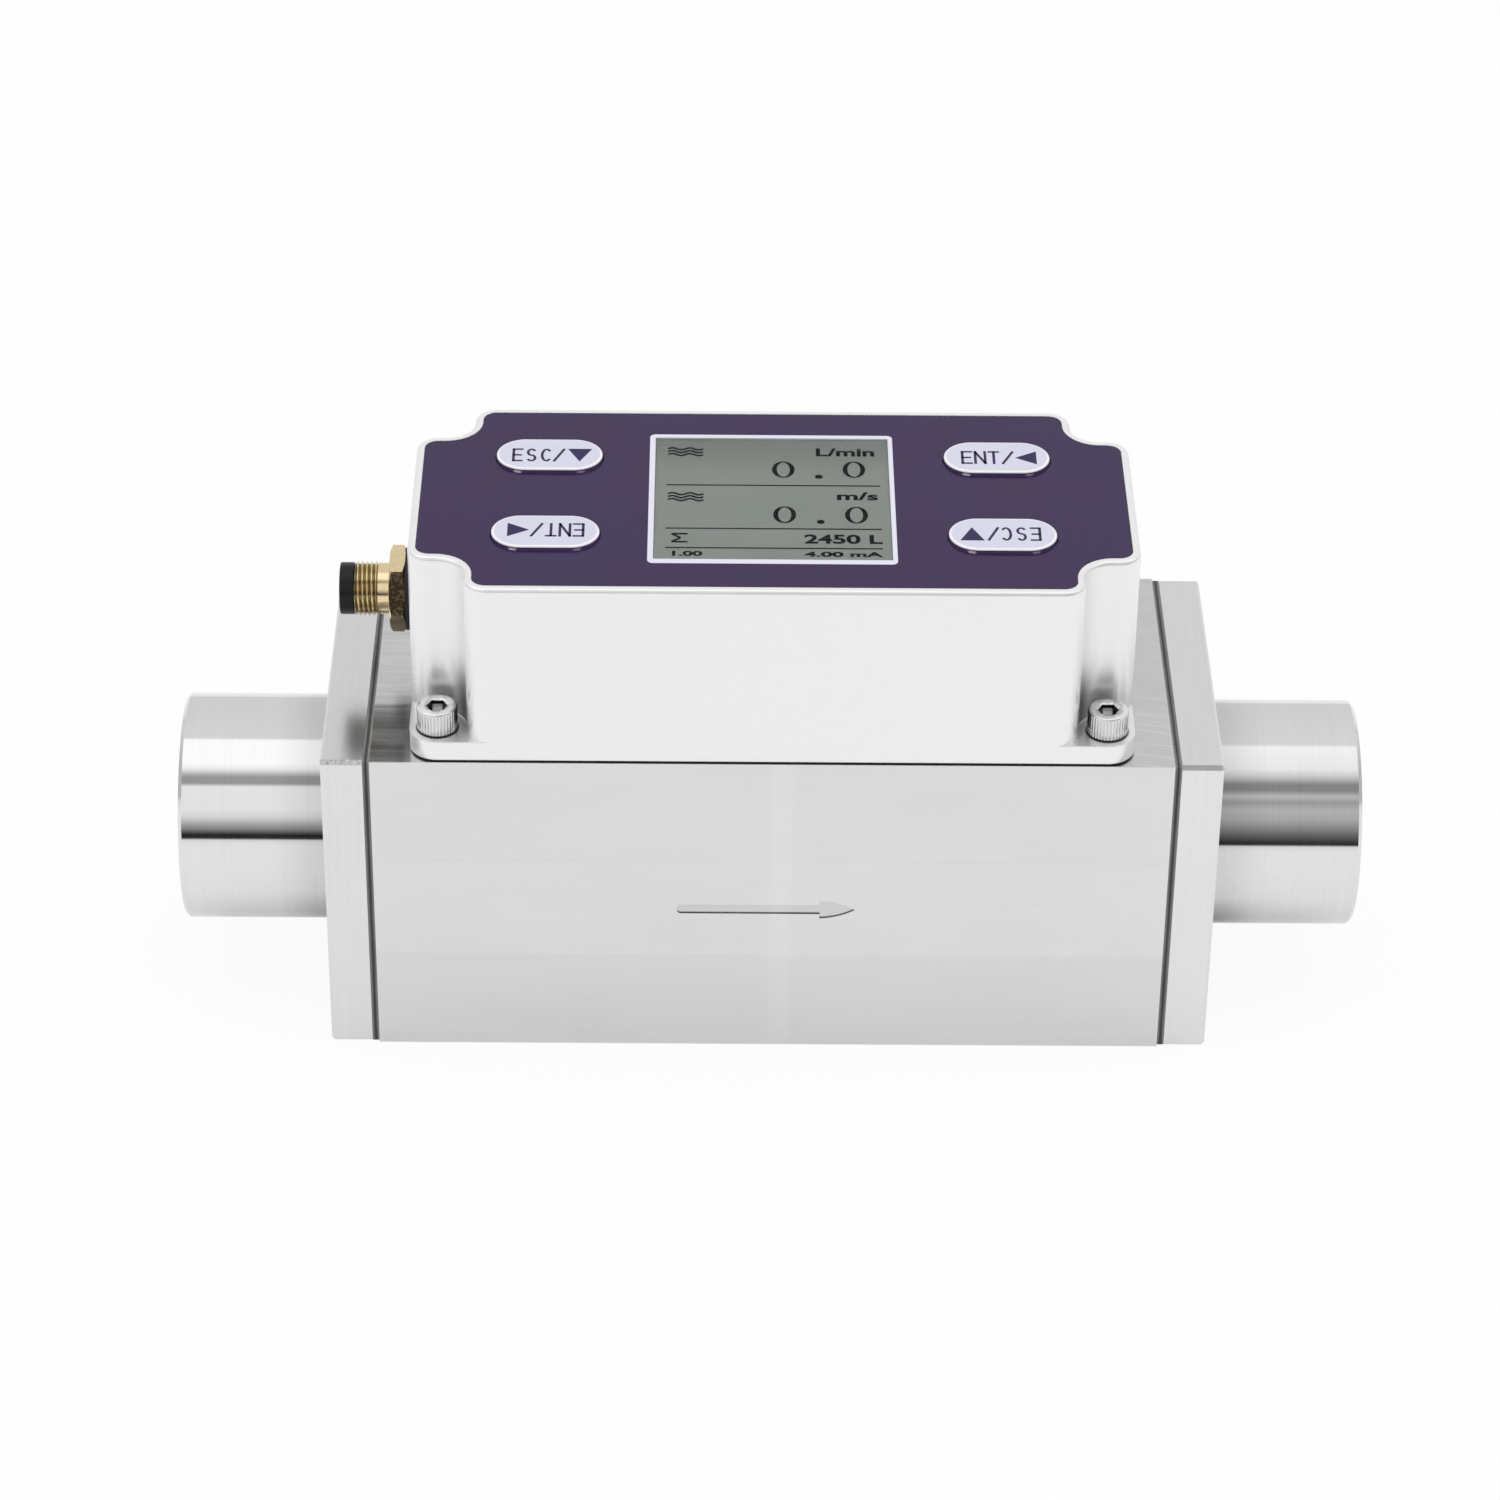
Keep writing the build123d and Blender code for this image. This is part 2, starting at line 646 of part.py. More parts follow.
with BuildPart() as display_window:
    with BuildSketch(Plane.XY.offset(panel_floor)):
        with Locations((display_x, display_y)):
            Rectangle(window_length - 2 * window_clearance, window_width - 2 * window_clearance)
    extrude(amount=panel_thickness)
display_window.part.label = "display_window"
export_step(display_window.part, "parts/display_window.step")

# Display cell under the window, and the holder with its light panel on the display board
lcd_base = panel_floor - lcd_thickness
holder_height = lcd_base - display_board_top
backlight_gap = 2 * (holder_wall + backlight_clearance)

with BuildPart() as lcd_cell:
    with BuildSketch(Plane.XY.offset(lcd_base)):
        with Locations((display_x, display_y)):
            Rectangle(lcd_length, lcd_width)
    extrude(amount=lcd_thickness)
lcd_cell.part.label = "lcd_cell"
export_step(lcd_cell.part, "parts/lcd_cell.step")

with BuildPart() as lcd_holder:
    with BuildSketch(Plane.XY.offset(display_board_top)):
        with Locations((display_x, display_y)):
            Rectangle(lcd_length, lcd_width)
    extrude(amount=holder_height)
    with BuildSketch(Plane.XY.offset(display_board_top + holder_floor)):
        with Locations((display_x, display_y)):
            Rectangle(lcd_length - 2 * holder_wall, lcd_width - 2 * holder_wall)
    extrude(amount=holder_height - holder_floor, mode=Mode.SUBTRACT)
lcd_holder.part.label = "lcd_holder"
export_step(lcd_holder.part, "parts/lcd_holder.step")

with BuildPart() as backlight_panel:
    with BuildSketch(Plane.XY.offset(display_board_top + holder_floor)):
        with Locations((display_x, display_y)):
            Rectangle(lcd_length - backlight_gap, lcd_width - backlight_gap)
    extrude(amount=holder_height - holder_floor)
backlight_panel.part.label = "backlight_panel"
export_step(backlight_panel.part, "parts/backlight_panel.step")

# Display board, hung from the pillars under the top of the case
with BuildPart() as display_board:
    with BuildSketch(Plane.XY.offset(display_board_base)):
        Rectangle(display_board_length, display_board_width)
        with Locations(*spacer_spots):
            Circle(board_hole_radius, mode=Mode.SUBTRACT)
    extrude(amount=board_thickness)
display_board.part.label = "display_board"
export_step(display_board.part, "parts/display_board.step")

# Keys: a pill that stands through the panel, a lip that stops it and a foot on the plunger
key_top = panel_top + key_proud
key_lip_top = case_ceiling - key_lip_gap
key_lip_base = key_lip_top - key_lip_thickness
key_foot_base = key_lip_base - key_foot_height
switch_top = key_foot_base - key_stroke - switch_stop_gap
plunger_base = key_foot_base - plunger_length

for number, spot in enumerate(key_spots, start=1):
    with BuildPart() as key:
        with BuildSketch(Plane.XY.offset(key_lip_top)):
            with Locations(spot):
                SlotOverall(key_length, key_width)
        extrude(amount=key_top - key_lip_top)
        fillet(key.faces().sort_by(Axis.Z)[-1].edges(), key_edge_round)
        with BuildSketch(Plane.XY.offset(key_lip_base)):
            with Locations(spot):
                SlotOverall(key_length + 2 * key_lip, key_width + 2 * key_lip)
        extrude(amount=key_lip_thickness)
        with BuildSketch(Plane.XY.offset(key_foot_base)):
            with Locations(spot):
                Circle(key_foot_radius)
        extrude(amount=key_foot_height)
    key.part.label = f"key_{number}"
    export_step(key.part, f"parts/key_{number}.step")
    with BuildPart() as plunger:
        with BuildSketch(Plane.XY.offset(plunger_base)):
            with Locations(spot):
                Circle(plunger_radius)
        extrude(amount=plunger_length)
    plunger.part.label = f"switch_plunger_{number}"
    export_step(plunger.part, f"parts/switch_plunger_{number}.step")

with BuildPart() as key_switches:
    with BuildSketch(Plane.XY.offset(display_board_top)):
        with Locations(*key_spots):
            Rectangle(switch_side, switch_side)
    extrude(amount=switch_top - display_board_top)
    with BuildSketch(Plane.XY.offset(display_board_top + switch_floor)):
        with Locations(*key_spots):
            Circle(plunger_radius + plunger_clearance)
    extrude(amount=switch_top - display_board_top - switch_floor, mode=Mode.SUBTRACT)
key_switches.part.label = "key_switches"
export_step(key_switches.part, "parts/key_switches.step")

# Hexagonal spacers with a stud that holds the display board to the pillars
with BuildPart() as board_spacers:
    with BuildSketch(Plane.XY.offset(main_board_top)):
        with Locations(*spacer_spots):
            RegularPolygon(spacer_across_flats / 2, 6, major_radius=False)
    extrude(amount=spacer_length)
    with BuildSketch(Plane.XY.offset(display_board_base)):
        with Locations(*spacer_spots):
            Circle(low_m3["shank"])
    extrude(amount=spacer_stud_length)
    with BuildSketch(Plane.XY.offset(main_board_top)):
        with Locations(*spacer_spots):
            Circle(tapped_m3)
    extrude(amount=board_screw_length, mode=Mode.SUBTRACT)
board_spacers.part.label = "board_spacers"
export_step(board_spacers.part, "parts/board_spacers.step")

with BuildPart() as main_board:
    with BuildSketch(Plane.XY.offset(main_board_base)):
        Rectangle(main_board_length, main_board_width)
        with Locations(*spacer_spots):
            Circle(board_hole_radius, mode=Mode.SUBTRACT)
    extrude(amount=board_thickness)
main_board.part.label = "main_board"
export_step(main_board.part, "parts/main_board.step")

board_screw_seat = Plane(origin=(0, 0, main_board_base), x_dir=(1, 0, 0), z_dir=(0, 0, -1))
board_screws = socket_screws(board_screw_seat, spacer_spots, low_m3, board_screw_length)
board_screws.label = "board_screws"
export_step(board_screws, "parts/board_screws.step")

# Parts that stand on the main board
with BuildPart() as controller_chip:
    with BuildSketch(Plane.XY.offset(main_board_top)):
        with Locations((controller_x, 0)):
            Rectangle(controller_side, controller_side)
    extrude(amount=controller_thickness)
controller_chip.part.label = "controller_chip"
export_step(controller_chip.part, "parts/controller_chip.step")

with BuildPart() as power_capacitors:
    with BuildSketch(Plane.XY.offset(main_board_top)):
        with Locations((capacitor_x, -capacitor_pitch / 2), (capacitor_x, capacitor_pitch / 2)):
            Circle(capacitor_radius)
    extrude(amount=capacitor_height)
power_capacitors.part.label = "power_capacitors"
export_step(power_capacitors.part, "parts/power_capacitors.step")

with BuildPart() as power_inductor:
    with BuildSketch(Plane.XY.offset(main_board_top)):
        with Locations((inductor_x, 0)):
            Rectangle(inductor_side, inductor_side)
    extrude(amount=inductor_height)
power_inductor.part.label = "power_inductor"
export_step(power_inductor.part, "parts/power_inductor.step")

# Socket under the main board and the flat ribbon that joins it to the sensor board
ribbon_front = sensor_board_thickness / 2
ribbon_middle = ribbon_front + ribbon_thickness / 2
ribbon_base = board_head - ribbon_lap
ribbon_top = socket_base + ribbon_insert

with BuildPart() as sensor_ribbon:
    with BuildSketch(Plane.XY.offset(ribbon_base)):
        with Locations((0, ribbon_middle)):
            Rectangle(ribbon_width, ribbon_thickness)
    extrude(amount=ribbon_top - ribbon_base)
sensor_ribbon.part.label = "sensor_ribbon"
export_step(sensor_ribbon.part, "parts/sensor_ribbon.step")

with BuildPart() as sensor_socket:
    with BuildSketch(Plane.XY.offset(socket_base)):
        with Locations((0, ribbon_middle)):
            Rectangle(sensor_socket_length, sensor_socket_width)
    extrude(amount=sensor_socket_height)
    with BuildSketch(Plane.XY.offset(socket_base)):
        with Locations((0, ribbon_middle)):
            Rectangle(ribbon_width, ribbon_thickness)
    extrude(amount=ribbon_insert, mode=Mode.SUBTRACT)
sensor_socket.part.label = "sensor_socket"
export_step(sensor_socket.part, "parts/sensor_socket.step")

# Cable connector, along X through the left wall of the case. Places run outwards from the wall.
seal_outer = -case_side - connector_seal_thickness
hex_outer = seal_outer - connector_hex_thickness
neck_outer = hex_outer - connector_neck_length
thread_outer = neck_outer - connector_thread_length
insert_outer = thread_outer - insert_collar_length
shell_inner = seal_outer + connector_shank_length + connector_seal_thickness
insert_inner = shell_inner + insert_end_past_shell
wall_inner = -case_side + case_wall

with BuildPart() as connector_shell:
    with BuildSketch(Plane.YZ.offset(thread_outer)):
        with Locations((0, connector_z)):
            Circle(connector_thread_radius)
    extrude(amount=connector_thread_length)
    with BuildSketch(Plane.YZ.offset(neck_outer)):
        with Locations((0, connector_z)):
            Circle(connector_neck_radius)
    extrude(amount=connector_neck_length)
    with BuildSketch(Plane.YZ.offset(hex_outer)):
        with Locations((0, connector_z)):
            hex_radius = connector_hex / 2
            RegularPolygon(hex_radius, 6, major_radius=False, rotation=connector_hex_turn)
    extrude(amount=connector_hex_thickness)
    with BuildSketch(Plane.YZ.offset(seal_outer)):
        with Locations((0, connector_z)):
            Circle(connector_thread_radius)
    extrude(amount=shell_inner - seal_outer)
    with BuildSketch(Plane.YZ.offset(thread_outer)):
        with Locations((0, connector_z)):
            Circle(connector_bore_radius)
    extrude(amount=shell_inner - thread_outer, mode=Mode.SUBTRACT)
connector_shell.part.label = "connector_shell"
export_step(connector_shell.part, "parts/connector_shell.step")

with BuildPart() as connector_seal:
    with BuildSketch(Plane.YZ.offset(seal_outer)):
        with Locations((0, connector_z)):
            Circle(connector_seal_radius)
            Circle(connector_hole_radius, mode=Mode.SUBTRACT)
    extrude(amount=connector_seal_thickness)
connector_seal.part.label = "connector_seal"
export_step(connector_seal.part, "parts/connector_seal.step")

with BuildPart() as connector_lock_nut:
    with BuildSketch(Plane.YZ.offset(wall_inner)):
        with Locations((0, connector_z)):
            RegularPolygon(connector_hex / 2, 6, major_radius=False)
            Circle(connector_thread_radius + thread_clearance, mode=Mode.SUBTRACT)
    extrude(amount=lock_nut_thickness)
connector_lock_nut.part.label = "connector_lock_nut"
export_step(connector_lock_nut.part, "parts/connector_lock_nut.step")

# Insert: a collar in front of the shell, a body through it and a recess round the pins
pin_spots = [(0, connector_z)] + [
    (
        pin_circle_radius * math.cos(math.radians(angle)),
        connector_z + pin_circle_radius * math.sin(math.radians(angle)),
    )
    for angle in (45, 135, 225, 315)
]
with BuildPart() as connector_insert:
    with BuildSketch(Plane.YZ.offset(insert_outer)):
        with Locations((0, connector_z)):
            Circle(insert_collar_radius)
    extrude(amount=insert_collar_length)
    fillet(connector_insert.faces().sort_by(Axis.X)[0].edges(), insert_collar_round)
    with BuildSketch(Plane.YZ.offset(thread_outer)):
        with Locations((0, connector_z)):
            Circle(connector_bore_radius - thread_clearance)
    extrude(amount=insert_inner - thread_outer)
    with BuildSketch(Plane.YZ.offset(insert_outer)):
        with Locations((0, connector_z)):
            Circle(insert_recess_radius)
    extrude(amount=insert_recess_depth, mode=Mode.SUBTRACT)
    with BuildSketch(Plane.YZ.offset(insert_outer)):
        with Locations(*pin_spots):
            Circle(pin_radius)
    extrude(amount=insert_inner - insert_outer, mode=Mode.SUBTRACT)
connector_insert.part.label = "connector_insert"
export_step(connector_insert.part, "parts/connector_insert.step")

with BuildPart() as connector_pins:
    with BuildSketch(Plane.YZ.offset(insert_outer + pin_set_back)):
        with Locations(*pin_spots):
            Circle(pin_radius)
    extrude(amount=insert_inner + pin_tail - insert_outer - pin_set_back)
connector_pins.part.label = "connector_pins"
export_step(connector_pins.part, "parts/connector_pins.step")

# Socket on the main board, and the straight leads from the connector's pins to it
pin_end = insert_inner + pin_tail
output_socket_face = pin_end + lead_length
output_socket_x = output_socket_face + output_socket_length / 2

with BuildPart() as connector_leads:
    with BuildSketch(Plane.YZ.offset(pin_end)):
        with Locations(*pin_spots):
            Circle(lead_radius)
    extrude(amount=lead_length)
connector_leads.part.label = "connector_leads"
export_step(connector_leads.part, "parts/connector_leads.step")

with BuildPart() as output_socket:
    with BuildSketch(Plane.XY.offset(main_board_top)):
        with Locations((output_socket_x, 0)):
            Rectangle(output_socket_length, output_socket_width)
    extrude(amount=output_socket_height)
output_socket.part.label = "output_socket"
export_step(output_socket.part, "parts/output_socket.step")
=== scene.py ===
import math

import bmesh
import bpy
import numpy as np
from mathutils import Matrix, Vector


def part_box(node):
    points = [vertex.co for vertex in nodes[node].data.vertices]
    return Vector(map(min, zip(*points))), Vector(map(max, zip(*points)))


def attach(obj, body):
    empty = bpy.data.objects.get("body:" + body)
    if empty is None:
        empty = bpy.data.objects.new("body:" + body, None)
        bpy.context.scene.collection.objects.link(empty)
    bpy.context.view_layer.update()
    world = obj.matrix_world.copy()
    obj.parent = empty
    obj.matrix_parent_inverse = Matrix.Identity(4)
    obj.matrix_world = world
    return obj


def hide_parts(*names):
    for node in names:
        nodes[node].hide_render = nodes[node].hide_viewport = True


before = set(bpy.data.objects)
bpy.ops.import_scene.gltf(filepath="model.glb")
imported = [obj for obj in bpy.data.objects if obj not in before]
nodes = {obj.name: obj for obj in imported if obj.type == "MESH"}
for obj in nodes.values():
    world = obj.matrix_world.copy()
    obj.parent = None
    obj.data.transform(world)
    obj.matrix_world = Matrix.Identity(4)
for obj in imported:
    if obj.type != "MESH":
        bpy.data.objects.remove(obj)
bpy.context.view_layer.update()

# Gas flow meter: a steel block with two round bosses, an electronics case, a display and four keys.
# Sizes in the dictionaries are millimetres, in the frame's own axes: x with the flow, z up.
mm = 0.001
scene = bpy.context.scene
print("frame loaded:", len(nodes), "nodes")


def boxOf(node):
    # Lowest and highest corner of a CAD node, in millimetres
    low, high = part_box(node)
    return np.array(low) / mm, np.array(high) / mm


# Mesh helpers

def gridFaces(rows, columns, closeRows=False, closeColumns=True, start=0):
    # Point (i, j) is number i * columns + j, and a quad joins it to its neighbours at i + 1 and j + 1
    i = np.arange(rows if closeRows else rows - 1)[:, None]
    j = np.arange(columns if closeColumns else columns - 1)[None, :]
    below, beside = (i + 1) % rows, (j + 1) % columns
    corners = (i * columns + j, i * columns + beside, below * columns + beside, below * columns + j)
    return np.stack(np.broadcast_arrays(*corners), -1).reshape(-1, 4) + start


def joinSurfaces(surfaces):
    # Surfaces laid one after another, each with its point numbers moved past those before it
    points, faces, start = [], [], 0
    for piecePoints, pieceFaces in surfaces:
        points.append(piecePoints)
        faces.append(pieceFaces + start)
        start += len(piecePoints)
    return np.concatenate(points), np.concatenate(faces)


def turnedSurface(heights, radii, closeRows=False):
    # Radius radii[i, j] at height heights[i] and angle 2 pi j / columns, about the local z axis
    radii = np.asarray(radii)
    rows, columns = radii.shape
    angle = np.arange(columns) * 2 * np.pi / columns
    heights = np.broadcast_to(np.asarray(heights, float)[:, None], radii.shape)
    points = np.stack([radii * np.cos(angle), radii * np.sin(angle), heights], -1).reshape(-1, 3)
    return points, gridFaces(rows, columns, closeRows)


def hexagonRadius(angle, acrossFlats):
    # Half the width across flats over the cosine of the angle from the middle of the nearest flat
    fromFlat = (angle + np.pi / 6) % (np.pi / 3) - np.pi / 6
    return acrossFlats / 2 / np.cos(fromFlat)


def threadWave(turns):
    # Triangle wave of the number of turns: 0 on the crest, 1 in the root
    return 1 - np.abs(2 * (turns % 1) - 1)


def makePiece(name, surface, material, body, standsFor=(), sharpDegrees=32):
    points, faces = surface
    mesh = bpy.data.meshes.new(name)
    mesh.from_pydata((points * mm).tolist(), [], faces.tolist())
    build = bmesh.new()
    build.from_mesh(mesh)
    bmesh.ops.remove_doubles(build, verts=build.verts, dist=2e-7)  # closes seams and poles
    bmesh.ops.recalc_face_normals(build, faces=build.faces)
    build.to_mesh(mesh)
    build.free()
    mesh.shade_smooth()
    mesh.set_sharp_from_angle(angle=math.radians(sharpDegrees))
    mesh.materials.append(material)
    piece = bpy.data.objects.new(name, mesh)
    scene.collection.objects.link(piece)
    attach(piece, body)
    if standsFor:
        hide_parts(*standsFor)
    return piece


# Node helpers

def addNode(tree, kind, inputs=None, **settings):
    # One node; an input is a value or another node's output
    node = tree.nodes.new(kind)
    for name, value in settings.items():
        setattr(node, name, value)
    for socket, value in (inputs or {}).items():
        if isinstance(value, bpy.types.NodeSocket):
            tree.links.new(value, node.inputs[socket])
        else:
            node.inputs[socket].default_value = value
    return node


def calc(tree, operation, *values):
    return addNode(tree, "ShaderNodeMath", dict(enumerate(values)), operation=operation).outputs[0]


def product(tree, first, *others):
    for value in others:
        first = calc(tree, "MULTIPLY", first, value)
    return first


def minus(tree, first, second):
    return calc(tree, "SUBTRACT", first, second)


def absolute(tree, value):
    return calc(tree, "ABSOLUTE", value)


def straightLine(tree, value, slope, start):
    # Value times slope plus start
    return calc(tree, "MULTIPLY_ADD", value, slope, start)


def splitVector(tree, vector):
    return addNode(tree, "ShaderNodeSeparateXYZ", {0: vector}).outputs


def mixValue(tree, share, first, second):
    inputs = {0: share, 2: first, 3: second}
    return addNode(tree, "ShaderNodeMix", inputs, data_type="FLOAT").outputs[0]


def lengthOf(tree, across, along):
    # Square root of the sum of two squares
    squares = straightLine(tree, across, across, product(tree, along, along))
    return calc(tree, "SQRT", squares)


def vectorCalc(tree, operation, *values):
    node = addNode(tree, "ShaderNodeVectorMath", dict(enumerate(values)), operation=operation)
    return node.outputs[1 if operation in ("LENGTH", "DISTANCE", "DOT_PRODUCT") else 0]


def smoothRange(tree, value, start, end, atStart=0.0, atEnd=1.0):
    # Smooth step from one value at start to the other at end; it falls where start is the greater
    inputs = {0: value, 1: start, 2: end, 3: atStart, 4: atEnd}
    return addNode(tree, "ShaderNodeMapRange", inputs, interpolation_type="SMOOTHSTEP").outputs[0]


def mixColour(tree, share, first, second):
    inputs = {0: share, 6: rgba(first), 7: rgba(second)}
    return addNode(tree, "ShaderNodeMix", inputs, data_type="RGBA").outputs[2]


def rgba(colour):
    # Three numbers get an alpha of 1; one number is a grey; a socket passes as it is
    if isinstance(colour, bpy.types.NodeSocket):
        return colour
    if isinstance(colour, (int, float)):
        return (colour, colour, colour, 1.0)
    return (*colour, 1.0)


def noise(tree, vector, scale=1.0, detail=3.0, roughness=0.55):
    inputs = {"Vector": vector, "Scale": scale, "Detail": detail, "Roughness": roughness}
    return addNode(tree, "ShaderNodeTexNoise", inputs).outputs[0]


def startGroup(name, inputs, outputs):
    # A shader node group with the named sockets; inputs are (name, kind, default)
    tree = bpy.data.node_groups.new(name, "ShaderNodeTree")
    for socketName, kind, default in inputs:
        socket = tree.interface.new_socket(socketName, in_out="INPUT", socket_type="NodeSocket" + kind)
        socket.default_value = default
    for socketName, kind in outputs:
        tree.interface.new_socket(socketName, in_out="OUTPUT", socket_type="NodeSocket" + kind)
    return tree, tree.nodes.new("NodeGroupInput").outputs, tree.nodes.new("NodeGroupOutput")


def useGroup(tree, group, **inputs):
    return addNode(tree, "ShaderNodeGroup", inputs, node_tree=group).outputs


# Node groups, each built once and placed in several materials

def makeBrushLines():
    # Fine noise squeezed by Stretch, plus the same at a third of the size; Tone lies about zero
    tree, given, out = startGroup(
        "brushLines",
        [("Vector", "Vector", (0, 0, 0)), ("Stretch", "Vector", (0.02, 1, 1))],
        [("Tone", "Float"), ("Height", "Float")],
    )
    stretched = vectorCalc(tree, "MULTIPLY", given["Vector"], given["Stretch"])
    fine = noise(tree, stretched, 4.0, 3.0, 0.6)
    broad = noise(tree, stretched, 0.7, 2.0, 0.5)
    both = calc(tree, "ADD", product(tree, fine, 0.6), product(tree, broad, 0.8))
    tree.links.new(minus(tree, both, 0.7), out.inputs["Tone"])
    tree.links.new(fine, out.inputs["Height"])
    return tree


def makeCloudyTone():
    # Slow noise about zero, for stains and uneven finish
    tree, given, out = startGroup(
        "cloudyTone",
        [("Vector", "Vector", (0, 0, 0)), ("Size", "Float", 10.0)],
        [("Tone", "Float")],
    )
    cloud = noise(tree, given["Vector"], calc(tree, "DIVIDE", 1.0, given["Size"]), 4.0, 0.6)
    tree.links.new(minus(tree, cloud, 0.5), out.inputs["Tone"])
    return tree


def makeScratchMarks():
    # Noise turned about z and drawn out a hundred times along one way; only its peaks count
    tree, given, out = startGroup(
        "scratchMarks",
        [
            ("Vector", "Vector", (0, 0, 0)),
            ("Turn", "Float", 0.6),
            ("Threshold", "Float", 0.68),
            ("Size", "Float", 1.0),
        ],
        [("Mask", "Float")],
    )
    turned = addNode(
        tree, "ShaderNodeVectorRotate",
        {"Vector": given["Vector"], "Angle": given["Turn"]}, rotation_type="Z_AXIS",
    ).outputs[0]
    drawn = vectorCalc(tree, "MULTIPLY", turned, (0.05, 2.2, 0.4))
    marks = noise(tree, drawn, calc(tree, "DIVIDE", 1.0, given["Size"]), 2.0, 0.5)
    top = calc(tree, "ADD", given["Threshold"], 0.05)
    tree.links.new(smoothRange(tree, marks, given["Threshold"], top), out.inputs["Mask"])
    return tree


def makeEdgeLight():
    # Distances to the three pairs of a box's faces; the middle one is the distance to the nearest edge, which
    # sets a painted highlight along the edges
    tree, given, out = startGroup(
        "edgeLight",
        [
            ("Vector", "Vector", (0, 0, 0)),
            ("Centre", "Vector", (0, 0, 0)),
            ("Half", "Vector", (1, 1, 1)),
            ("Width", "Float", 0.5),
        ],
        [("Mask", "Float")],
    )
    fromCentre = vectorCalc(tree, "ABSOLUTE", vectorCalc(tree, "SUBTRACT", given["Vector"], given["Centre"]))
    inside = vectorCalc(tree, "SUBTRACT", given["Half"], fromCentre)
    x, y, z = splitVector(tree, inside)
    lesser, greater = calc(tree, "MINIMUM", x, y), calc(tree, "MAXIMUM", x, y)
    middle = calc(tree, "MAXIMUM", lesser, calc(tree, "MINIMUM", greater, z))
    tree.links.new(smoothRange(tree, middle, given["Width"], 0.0), out.inputs["Mask"])
    return tree


def makeTurnedRings():
    # Noise of the distance along x and of the radius from the axis through Centre: lathe rings
    tree, given, out = startGroup(
        "turnedRings",
        [("Vector", "Vector", (0, 0, 0)), ("Centre", "Vector", (0, 0, 0)), ("Pitch", "Float", 0.3)],
        [("Tone", "Float"), ("Height", "Float"), ("Radius", "Float")],
    )
    about = vectorCalc(tree, "SUBTRACT", given["Vector"], given["Centre"])
    x, y, z = splitVector(tree, about)
    radius = calc(tree, "SQRT", calc(tree, "ADD", product(tree, y, y), product(tree, z, z)))
    angle = calc(tree, "ARCTAN2", z, y)
    around = addNode(tree, "ShaderNodeCombineXYZ", {0: x, 1: radius, 2: product(tree, angle, 0.12)})
    lines = noise(tree, around.outputs[0], calc(tree, "DIVIDE", 1.0, given["Pitch"]), 3.0, 0.6)
    tree.links.new(minus(tree, lines, 0.5), out.inputs["Tone"])
    tree.links.new(lines, out.inputs["Height"])
    tree.links.new(radius, out.inputs["Radius"])
    return tree


def makeFineGrain():
    # Two sizes of even noise, for blasted metal and moulded plastic
    tree, given, out = startGroup(
        "fineGrain",
        [("Vector", "Vector", (0, 0, 0)), ("Size", "Float", 0.3)],
        [("Tone", "Float"), ("Height", "Float")],
    )
    grain = noise(tree, given["Vector"], calc(tree, "DIVIDE", 1.0, given["Size"]), 2.0, 0.6)
    tree.links.new(minus(tree, grain, 0.5), out.inputs["Tone"])
    tree.links.new(grain, out.inputs["Height"])
    return tree


brushLines = makeBrushLines()
cloudyTone = makeCloudyTone()
scratchMarks = makeScratchMarks()
edgeLight = makeEdgeLight()
turnedRings = makeTurnedRings()
fineGrain = makeFineGrain()
print("node groups made")


# Materials: each function starts one and names what changes over its surface

def startMaterial(name, **fixed):
    # A Principled shader with its fixed values, and the surface's place in millimetres
    material = bpy.data.materials.new(name)
    material.use_nodes = True
    tree = material.node_tree
    shader = tree.nodes["Principled BSDF"]
    for socket, value in fixed.items():
        shader.inputs[socket.replace("_", " ")].default_value = value
    place = addNode(tree, "ShaderNodeTexCoord").outputs["Object"]
    spot = addNode(tree, "ShaderNodeVectorMath", {0: place, "Scale": 1 / mm}, operation="SCALE").outputs[0]
    return material, tree, shader, spot


def setLook(tree, shader, **sockets):
    for socket, value in sockets.items():
        tree.links.new(value, shader.inputs[socket.replace("_", " ")])


def setBump(tree, shader, height, depth, roundEdge=None, strength=1.0):
    # Bump of that depth in millimetres, over edges rounded to that radius in millimetres
    inputs = {"Height": height, "Distance": depth * mm, "Strength": strength}
    if roundEdge:
        inputs["Normal"] = addNode(tree, "ShaderNodeBevel", {0: roundEdge * mm}, samples=6).outputs[0]
    setLook(tree, shader, Normal=addNode(tree, "ShaderNodeBump", inputs).outputs[0])


def shadeGrey(tree, base, *tones):
    # Grey of base times one plus each tone times its amount, as a colour
    total = 1.0
    for tone, amount in tones:
        total = straightLine(tree, tone, amount, total)
    value = product(tree, total, base)
    return addNode(tree, "ShaderNodeCombineColor", {0: value, 1: value, 2: value}).outputs[0]


def tintTone(tree, colour, *tones):
    # Colour times one plus each tone times its amount
    total = 1.0
    for tone, amount in tones:
        total = straightLine(tree, tone, amount, total)
    shade = addNode(tree, "ShaderNodeCombineColor", {0: total, 1: total, 2: total}).outputs[0]
    inputs = {0: 1.0, 6: rgba(colour), 7: shade}
    return addNode(tree, "ShaderNodeMix", inputs, data_type="RGBA", blend_type="MULTIPLY").outputs[2]


blockSteel = {
    "tone": 0.775,
    "roughness": 0.24,
    "millSteps": (49.5, 24.2),
    "softBand": (-0.1, 4.3),
    "caseEnd": 77.5,
    "arrowFloor": -37.4,
    "arrowWalls": (0.25, 0.6),
    # y ranges of the painted dark reflections of the connector on the top's left
    "reflectionBands": ((-24.6, -16.0), (-38.0, -30.0)),
}


